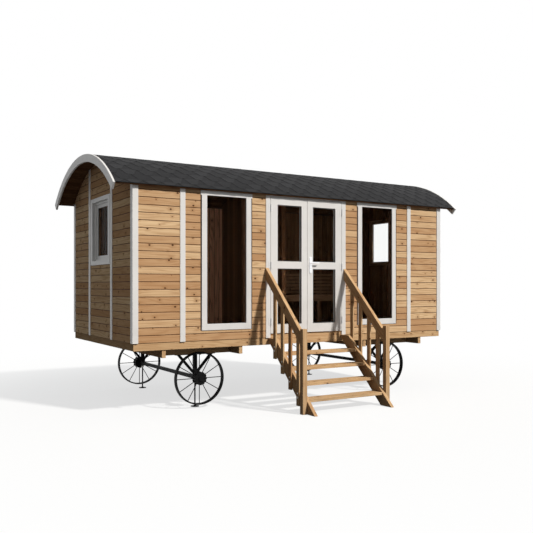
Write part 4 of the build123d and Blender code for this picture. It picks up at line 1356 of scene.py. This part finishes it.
def build_trim_screws(sizes):
    """Pairs of screws up the battens, and single ones up both faces of the corner boards."""
    foot_gap, head_gap, gable_head_gap, pair = 0.06, 0.02, 0.08, (-0.022, 0.022)
    rows = {(axis, side): [] for axis in (0, 1) for side in (-1, 1)}
    for low, high in solids("wall_battens"):
        side, face = outer_face(low, high, 1, MIDDLE)
        x = (low[0] + high[0]) / 2
        for z in np.arange(low[2] + foot_gap, high[2] - head_gap, sizes.screw_step):
            rows[1, side] += [(x + shift, face, z) for shift in pair]
    for low, high in solids("corner_boards"):
        side, face = outer_face(low, high, 1, MIDDLE)
        end, end_face = outer_face(low, high, 0, 0.0)
        x, y, _ = (low + high) / 2
        for z in np.arange(low[2] + foot_gap, high[2] - head_gap, sizes.screw_step):
            rows[1, side].append((x, face, z))
            rows[0, end].append((end_face, y, z))
    for low, high in solids("gable_battens"):
        end, face = outer_face(low, high, 0, 0.0)
        y = (low[1] + high[1]) / 2
        for z in np.arange(low[2] + foot_gap, high[2] - gable_head_gap, sizes.screw_step):
            rows[0, end] += [(face, y + shift, z) for shift in pair]
    for name, axis, side in (
        ("front_trim_screws", 1, -1), ("rear_trim_screws", 1, 1),
        ("left_trim_screws", 0, -1), ("right_trim_screws", 0, 1),
    ):
        outward = (side, 0, 0) if axis == 0 else (0, side, 0)
        screw_heads(
            name, rows[axis, side], outward, sizes.screw_radius, "wagon", "white_trim", "white_paint"
        )


def build_stair_screws(sizes):
    """Two screws through the stringer into each end of every tread."""
    inset, share = 0.05, 1.3
    low_x, high_x = (corner.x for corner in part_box("stringers"))
    treads = solids("treads")
    for name, side, face in (("left_stair_screws", -1, low_x), ("right_stair_screws", 1, high_x)):
        places = [
            (face, y, (low[2] + high[2]) / 2)
            for low, high in treads
            for y in (low[1] + inset, high[1] - inset)
        ]
        screw_heads(name, places, (side, 0, 0), sizes.screw_radius * share, "wagon", "stair_pine")


def build_rail_bolts(sizes):
    """Two coach bolts through the foot of each baluster into the stringer."""
    rises, sides = (0.11, 0.17), 14
    radius = sizes.coach_bolt_radius
    profile = [(radius, 0), (radius * 0.8, radius * 0.4), (radius * 0.25, radius * 0.6)]
    places = {-1: [], 1: []}
    for low, high in solids("balusters"):
        side, face = outer_face(low, high, 0, 0.0)
        places[side] += [(face, (low[1] + high[1]) / 2, low[2] + rise) for rise in rises]
    for side, name in ((-1, "left_rail_bolts"), (1, "right_rail_bolts")):
        piece = loft(name, disc_rings(places[side], (side, 0, 0), profile, sides), "zinc_steel")
        smooth(piece)
        settle(piece, "wagon", "stair_pine")


def build_hinge_screws(sizes):
    """Four screws in each hinge plate, down the edge that lies away from the pin."""
    inset, shares, share_of_radius = 0.012, (0.12, 0.38, 0.62, 0.88), 0.8
    for node, body in (
        ("frame_hinges", "wagon"), ("left_door_hinges", "left_door"), ("right_door_hinges", "right_door"),
    ):
        places = []
        for low, high in solids(node):
            left_door = low[0] < 0
            x = low[0] + inset if left_door == (node == "frame_hinges") else high[0] - inset
            places += [
                (x, high[1] - HINGE_PLATE, low[2] + (high[2] - low[2]) * share) for share in shares
            ]
        screw_heads(
            f"{node}_screws", places, (0, -1, 0), sizes.screw_radius * share_of_radius, body,
            "door_fittings", "bright_steel",
        )


def build_door_fittings(sizes):
    """Lock plates and lever with eased edges."""
    for node, body in (("lock_plates", "right_door"), ("door_lever", "lever")):
        piece = eased(node, "bright_steel", sizes.fitting_ease, rounded=True)
        settle(piece, body, "door_fittings", node)


# Stage


def build_stage(stage):
    """Floor, pale surroundings, light from the front right, and the camera at the picture's angle."""
    build_floor(stage)
    light_surroundings(stage)
    hang_key_light(stage)
    set_camera(stage)
    bpy.context.scene.view_settings.view_transform = "Standard"


def build_floor(stage):
    """A wide square floor at ground level."""
    mesh = bpy.data.meshes.new("floor_sheet")
    square = np.array([(-1, -1, 0), (1, -1, 0), (1, 1, 0), (-1, 1, 0)]) * stage.floor_reach
    mesh.from_pydata(square.tolist(), [], [(0, 1, 2, 3)])
    floor_finish(stage)
    place(mesh, "studio_floor", "studio_floor")


def light_surroundings(stage):
    """Surroundings that light the wagon softly from all round, and show as plain white."""
    world = bpy.context.scene.world or bpy.data.worlds.new("studio")
    bpy.context.scene.world = world
    world.use_nodes = True
    tree = world.node_tree
    tree.nodes.clear()
    light = tree.nodes.new("ShaderNodeBackground")
    light.inputs["Color"].default_value = (*stage.surround_colour, 1)
    light.inputs["Strength"].default_value = stage.surround_strength
    white = tree.nodes.new("ShaderNodeBackground")
    white.inputs["Color"].default_value = (1, 1, 1, 1)
    white.inputs["Strength"].default_value = 1.0
    mixed = mix_shaders(tree, shown_rays(tree), light, white)
    wire(tree, mixed, tree.nodes.new("ShaderNodeOutputWorld").inputs["Surface"])


def hang_key_light(stage):
    """One broad sun, from its height and its side of the door."""
    sun = bpy.data.lights.new("key_light", "SUN")
    sun.energy = stage.key_strength
    sun.color = stage.key_colour
    sun.angle = stage.key_softness
    lamp = bpy.data.objects.new("key_light", sun)
    bpy.context.scene.collection.objects.link(lamp)
    across = math.cos(stage.key_height)
    towards = Vector(
        (across * math.sin(stage.key_side), -across * math.cos(stage.key_side), math.sin(stage.key_height))
    )
    lamp.rotation_euler = towards.to_track_quat("Z", "Y").to_euler()


def set_camera(stage):
    """A level camera, placed from the foot of the front left corner board."""
    camera = bpy.data.cameras.new("camera")
    camera.lens = stage.lens
    camera.shift_y = stage.shift_up
    eye = bpy.data.objects.new("camera", camera)
    bpy.context.scene.collection.objects.link(eye)
    corner = Vector((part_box("corner_boards")[0].x, FRONT, FLOOR_LINE))
    eye.location = corner + Vector(stage.camera_from_corner)
    eye.rotation_euler = (math.pi / 2, 0, -stage.camera_turn)
    bpy.context.scene.camera = eye


def shown_rays(tree):
    """One for the rays that show the background: from the camera, off gloss and through glass."""
    path = tree.nodes.new("ShaderNodeLightPath").outputs
    seen = calc(tree, "MAXIMUM", path["Is Camera Ray"], path["Is Transmission Ray"])
    return calc(tree, "MAXIMUM", seen, path["Is Glossy Ray"])


def floor_finish(stage):
    """Pale floor that keeps a soft shadow near the wagon and runs out to white for the camera."""
    shadow_reach, white_reach = 3.0, 9.0
    tree, shader = new_finish("studio_floor", roughness=0.9, specular=0.1)
    seen = shown_rays(tree)
    wire(tree, blend(tree, seen, stage.floor_bounce, stage.floor_colour), shader.inputs["Base Color"])
    white = tree.nodes.new("ShaderNodeEmission")
    white.inputs["Strength"].default_value = 1.0
    away = tree.nodes.new("ShaderNodeVectorMath")
    away.operation = "LENGTH"
    wire(tree, place_in(tree), away.inputs[0])
    far = between(tree, away.outputs["Value"], shadow_reach, white_reach, stage.floor_whiteness, 1.0)
    mixed = mix_shaders(tree, calc(tree, "MULTIPLY", far, seen), shader, white)
    wire(tree, mixed, tree.nodes["Material Output"].inputs["Surface"])


# Sizes, colours and stage that can be changed


def length(name, description, default):
    """A size in metres."""
    return FloatProperty(name=name, description=description, default=default, unit="LENGTH", precision=4)


def colour(name, description, default):
    """A colour."""
    return FloatVectorProperty(name=name, description=description, default=default, subtype="COLOR", size=3)


class WagonSizes(PropertyGroup):
    """Sizes of the pieces that are added to the frame."""

    seed: IntProperty(name="Seed", description="Start of the random tones and shifts", default=41)
    board_pitch: length("Course height", "Height of one course of cladding", 0.1)
    board_thickness: length("Board thickness", "How far the cladding stands off the wall", 0.009)
    board_ease: length("Board chamfer", "Chamfer along both edges of a cladding board", 0.004)
    board_gap: length("Board gap", "Gap between two boards", 0.004)
    lining_pitch: length("Lining pitch", "Width of one upright board inside", 0.095)
    lining_thickness: length("Lining thickness", "How far the lining stands off the wall", 0.004)
    lining_bevel: length("Lining bevel", "Width of the bevel along a board inside", 0.0034)
    roof_board_width: length("Roof board width", "Width of one board of the roof deck", 0.098)
    roof_board_gap: length("Roof board gap", "Gap between two boards of the roof deck", 0.0015)
    roof_board_ease: length("Roof board chamfer", "Chamfer along the seen edges of a roof board", 0.006)
    tab_width: length("Tab width", "Width of a shingle tab", 0.245)
    tab_flat: length("Tab flat", "Width of the level lower edge of a tab", 0.1)
    tab_drop: length("Tab drop", "Height of one course of shingles", 0.142)
    tab_slot: length("Tab slot", "Gap between two tabs", 0.006)
    tab_thickness: length("Tab thickness", "Thickness of a shingle", 0.0019)
    eave_lip: length("Eave lip", "How far the shingles pass the eave", 0.004)
    cap_step: length("Cap step", "Length of a cap over the crown", 0.2)
    cap_reach: length("Cap reach", "How far a cap reaches down each side", 0.125)
    arch_steps: IntProperty(name="Arch steps", description="Steps round a bargeboard", default=97)
    trim_ease: length("Trim easing", "Rounding of the white trim's edges", 0.002)
    timber_ease: length("Timber easing", "Rounding of the timbers' edges", 0.003)
    steel_ease: length("Steel easing", "Rounding of the steel's edges", 0.0015)
    fitting_ease: length("Fitting easing", "Rounding of the door fittings' edges", 0.0012)
    glazing_lap: length("Glazing lap", "How far the casing laps the front panes", 0.008)
    seal_width: length("Seal width", "Seen width of the rubber round a pane", 0.005)
    seal_depth: length("Seal depth", "How far the rubber stands in front of a pane", 0.002)
    gasket_width: length("Gasket width", "Seen width of the rubber at the face of a door leaf", 0.003)
    bead_width: length("Bead width", "Size of the glazing beads inside the door", 0.009)
    wheel_steps: IntProperty(name="Wheel steps", description="Steps round a wheel", default=144)
    rim_width: length("Rim width", "Width of a wheel's rim", 0.06)
    rim_thickness: length("Rim thickness", "Thickness of a wheel's rim", 0.02)
    hub_flange: length("Hub flange", "Radius of a hub's flanges", 0.092)
    hub_flange_thickness: length("Flange thickness", "Thickness of a hub's flanges", 0.012)
    hub_drum: length("Hub drum", "Radius of a hub's drum", 0.08)
    hub_bore: length("Hub bore", "Radius of a hub's bore", 0.0165)
    hub_scallops: IntProperty(name="Scallops", description="Scallops round a hub flange", default=12)
    hub_scallop_depth: length("Scallop depth", "Depth of a scallop", 0.0095)
    hub_bolt_circle: length("Hub bolt circle", "Radius of the ring of bolts on a hub", 0.056)
    hub_bolt_radius: length("Hub bolt radius", "Radius of a bolt head on a hub", 0.008)
    spoke_count: IntProperty(name="Spokes", description="Spokes of a wheel", default=12)
    spoke_radius: length("Spoke radius", "Radius of a spoke", 0.0056)
    rod_radius: length("Rod radius", "Radius of a jack's threaded rod", 0.011)
    thread_pitch: length("Thread pitch", "Rise of a rod's thread in one turn", 0.006)
    thread_depth: length("Thread depth", "Depth of a rod's thread", 0.0018)
    thread_samples: IntProperty(name="Thread samples", description="Steps up one turn of thread", default=6)
    thread_sides: IntProperty(name="Thread sides", description="Steps round a rod", default=18)
    foot_radius: length("Foot radius", "Radius of a jack's foot", 0.06)
    foot_thickness: length("Foot thickness", "Thickness of a jack's foot", 0.008)
    nut_height: length("Nut height", "Height of a jack's nut", 0.03)
    nut_radius: length("Nut radius", "Radius of a jack's nut over its corners", 0.02)
    plate_thickness: length("Plate thickness", "Thickness of an axle frame's plate", 0.008)
    bolt_reach: length("Bolt reach", "Furthest bolt from the middle of a plate", 0.255)
    bolt_radius: length("Bolt radius", "Radius of a bolt head under a plate", 0.0105)
    screw_step: length("Screw step", "Distance between screws down a trim board", 0.33)
    screw_radius: length("Screw radius", "Radius of a trim screw's head", 0.0042)
    coach_bolt_radius: length("Coach bolt radius", "Radius of a coach bolt's head", 0.012)


class WagonColours(PropertyGroup):
    """Colours of the finishes."""

    pine_light: colour("Light pine", "Lighter boards", (0.76, 0.53, 0.305))
    pine_deep: colour("Deep pine", "Darker boards", (0.52, 0.298, 0.15))
    timber_light: colour("Light timber", "Lighter sills, bearers and stairs", (0.68, 0.465, 0.255))
    timber_deep: colour("Deep timber", "Darker sills, bearers and stairs", (0.455, 0.25, 0.118))
    lining_light: colour("Light lining", "Lighter boards inside", (0.27, 0.14, 0.068))
    lining_deep: colour("Deep lining", "Darker boards inside", (0.125, 0.058, 0.028))
    # Painted light on the boards left of the partition.
    left_room_painted_light: colour("Left room", "Boards left of the partition", (0.8, 0.42, 0.25))
    bench_light: colour("Light bench", "Lighter slats", (0.43, 0.25, 0.14))
    bench_deep: colour("Deep bench", "Darker slats", (0.26, 0.13, 0.067))
    soffit_light: colour("Light roof board", "Lighter boards of the roof deck", (0.19, 0.10, 0.048))
    soffit_deep: colour("Deep roof board", "Darker boards of the roof deck", (0.11, 0.052, 0.025))
    white_paint: colour("White paint", "Painted trim, frames and doors", (0.71, 0.685, 0.655))
    shingle: colour("Shingle", "Mineral felt of the roof", (0.05, 0.05, 0.0525))
    steel_paint: colour("Steel paint", "Paint of the running gear", (0.005, 0.005, 0.0055))
    glass_tint: colour("Glass tint", "Colour that one face of the glass lets through", (0.985, 0.99, 0.985))
    glass_shade: colour("Glass shade", "Light that a face of the glass lets in", (0.28, 0.28, 0.28))


class WagonStage(PropertyGroup):
    """Floor, light and camera."""

    floor_reach: length("Floor reach", "Distance from the middle to the floor's edge", 60.0)
    floor_colour: colour("Floor colour", "Colour of the floor", (0.9, 0.9, 0.89))
    floor_bounce: colour("Floor bounce", "Light that the floor throws back", (0.08, 0.083, 0.09))
    floor_whiteness: FloatProperty(
        name="Floor whiteness", description="Share of plain white that the camera sees near", default=0.68
    )
    surround_colour: colour("Surround colour", "Colour of the surroundings' light", (0.9, 0.96, 1.0))
    surround_strength: FloatProperty(
        name="Surround strength", description="Light of the surroundings", default=0.265
    )
    key_strength: FloatProperty(name="Key strength", description="Strength of the key light", default=3.85)
    key_colour: colour("Key colour", "Colour of the key light", (1.0, 0.975, 0.94))
    key_softness: FloatProperty(
        name="Key softness", description="Width of the key light", default=math.radians(5), unit="ROTATION"
    )
    key_height: FloatProperty(
        name="Key height", description="Height of the key light", default=math.radians(42), unit="ROTATION"
    )
    key_side: FloatProperty(
        name="Key side", description="Turn of the key light to the right of the door",
        default=math.radians(26), unit="ROTATION",
    )
    lens: FloatProperty(name="Lens", description="Focal length in millimetres", default=46.56)
    shift_up: FloatProperty(name="Shift", description="Upward shift of the picture", default=0.0361)
    camera_from_corner: FloatVectorProperty(
        name="Camera place", description="From the foot of the front left corner board to the camera",
        default=(-3.061, -8.471, 0.748), unit="LENGTH",
    )
    camera_turn: FloatProperty(
        name="Camera turn", description="Turn of the camera to the right", default=math.radians(30.915),
        unit="ROTATION",
    )


# Operators


class WAGON_OT_finishes(Operator):
    """Make every finish and give the frame's own nodes theirs"""

    bl_idname = "wagon.finishes"
    bl_label = "Finishes"

    def execute(self, context):
        make_finishes(context.scene.wagon_colours)
        return {"FINISHED"}


class WAGON_OT_cladding(Operator):
    """Add the outer boards of all four walls"""

    bl_idname = "wagon.cladding"
    bl_label = "Cladding"

    def execute(self, context):
        build_cladding(context.scene.wagon_sizes)
        return {"FINISHED"}


class WAGON_OT_lining(Operator):
    """Add the inner boards of the walls"""

    bl_idname = "wagon.lining"
    bl_label = "Lining"

    def execute(self, context):
        build_lining(context.scene.wagon_sizes)
        return {"FINISHED"}


class WAGON_OT_roof_boards(Operator):
    """Add the boards of the barrel roof"""

    bl_idname = "wagon.roof_boards"
    bl_label = "Roof boards"

    def execute(self, context):
        build_roof_boards(context.scene.wagon_sizes)
        return {"FINISHED"}


class WAGON_OT_shingles(Operator):
    """Add the shingles and the caps over the crown"""

    bl_idname = "wagon.shingles"
    bl_label = "Shingles"

    def execute(self, context):
        build_shingles(context.scene.wagon_sizes)
        return {"FINISHED"}


class WAGON_OT_bargeboards(Operator):
    """Add the curved boards at both gables"""

    bl_idname = "wagon.bargeboards"
    bl_label = "Bargeboards"

    def execute(self, context):
        build_bargeboards(context.scene.wagon_sizes)
        return {"FINISHED"}


class WAGON_OT_timbers(Operator):
    """Ease the timbers of base, stairs and bench"""

    bl_idname = "wagon.timbers"
    bl_label = "Timbers"

    def execute(self, context):
        build_timbers(context.scene.wagon_sizes)
        return {"FINISHED"}


class WAGON_OT_trim(Operator):
    """Ease the white trim, window frames and door leaves"""

    bl_idname = "wagon.trim"
    bl_label = "Trim"

    def execute(self, context):
        build_trim(context.scene.wagon_sizes)
        return {"FINISHED"}


class WAGON_OT_seals(Operator):
    """Add the seals and beads round the panes"""

    bl_idname = "wagon.seals"
    bl_label = "Seals"

    def execute(self, context):
        build_seals(context.scene.wagon_sizes)
        return {"FINISHED"}


class WAGON_OT_wheels(Operator):
    """Add the four spoked wheels"""

    bl_idname = "wagon.wheels"
    bl_label = "Wheels"

    def execute(self, context):
        build_wheels(context.scene.wagon_sizes)
        return {"FINISHED"}


class WAGON_OT_running_gear(Operator):
    """Ease the axle frames and add jacks and bolts"""

    bl_idname = "wagon.running_gear"
    bl_label = "Running gear"

    def execute(self, context):
        build_running_gear(context.scene.wagon_sizes)
        return {"FINISHED"}


class WAGON_OT_screws(Operator):
    """Add screws and coach bolts"""

    bl_idname = "wagon.screws"
    bl_label = "Screws"

    def execute(self, context):
        build_screws(context.scene.wagon_sizes)
        return {"FINISHED"}


class WAGON_OT_door_fittings(Operator):
    """Ease the lock plates and the lever"""

    bl_idname = "wagon.door_fittings"
    bl_label = "Door fittings"

    def execute(self, context):
        build_door_fittings(context.scene.wagon_sizes)
        return {"FINISHED"}


class WAGON_OT_stage(Operator):
    """Set the floor, light and camera"""

    bl_idname = "wagon.stage"
    bl_label = "Stage"

    def execute(self, context):
        build_stage(context.scene.wagon_stage)
        return {"FINISHED"}


OPERATORS = (
    WAGON_OT_stage, WAGON_OT_finishes, WAGON_OT_cladding, WAGON_OT_lining, WAGON_OT_roof_boards,
    WAGON_OT_shingles, WAGON_OT_bargeboards, WAGON_OT_timbers, WAGON_OT_trim, WAGON_OT_seals,
    WAGON_OT_wheels, WAGON_OT_running_gear, WAGON_OT_screws, WAGON_OT_door_fittings,
)


class WAGON_PT_panel(Panel):
    """Sizes, colours and pieces of the wagon"""

    bl_idname = "WAGON_PT_panel"
    bl_label = "Sauna Wagon"
    bl_space_type = "VIEW_3D"
    bl_region_type = "UI"
    bl_category = "Wagon"

    def draw(self, context):
        for operator in OPERATORS:
            self.layout.operator(operator.bl_idname)
        for group in (context.scene.wagon_sizes, context.scene.wagon_colours, context.scene.wagon_stage):
            box = self.layout.box()
            for name in group.__annotations__:
                box.prop(group, name)


CLASSES = (WagonSizes, WagonColours, WagonStage, *OPERATORS, WAGON_PT_panel)


def register():
    """Make the classes known and hang the groups on the scene."""
    for item in CLASSES:
        bpy.utils.register_class(item)
    bpy.types.Scene.wagon_sizes = PointerProperty(type=WagonSizes)
    bpy.types.Scene.wagon_colours = PointerProperty(type=WagonColours)
    bpy.types.Scene.wagon_stage = PointerProperty(type=WagonStage)


def unregister():
    """Take the groups and classes away again."""
    del bpy.types.Scene.wagon_stage
    del bpy.types.Scene.wagon_colours
    del bpy.types.Scene.wagon_sizes
    for item in reversed(CLASSES):
        bpy.utils.unregister_class(item)


def main():
    """Build everything in order."""
    register()
    for operator in OPERATORS:
        group, name = operator.bl_idname.split(".")
        getattr(getattr(bpy.ops, group), name)()


if __name__ == "__main__":
    main()
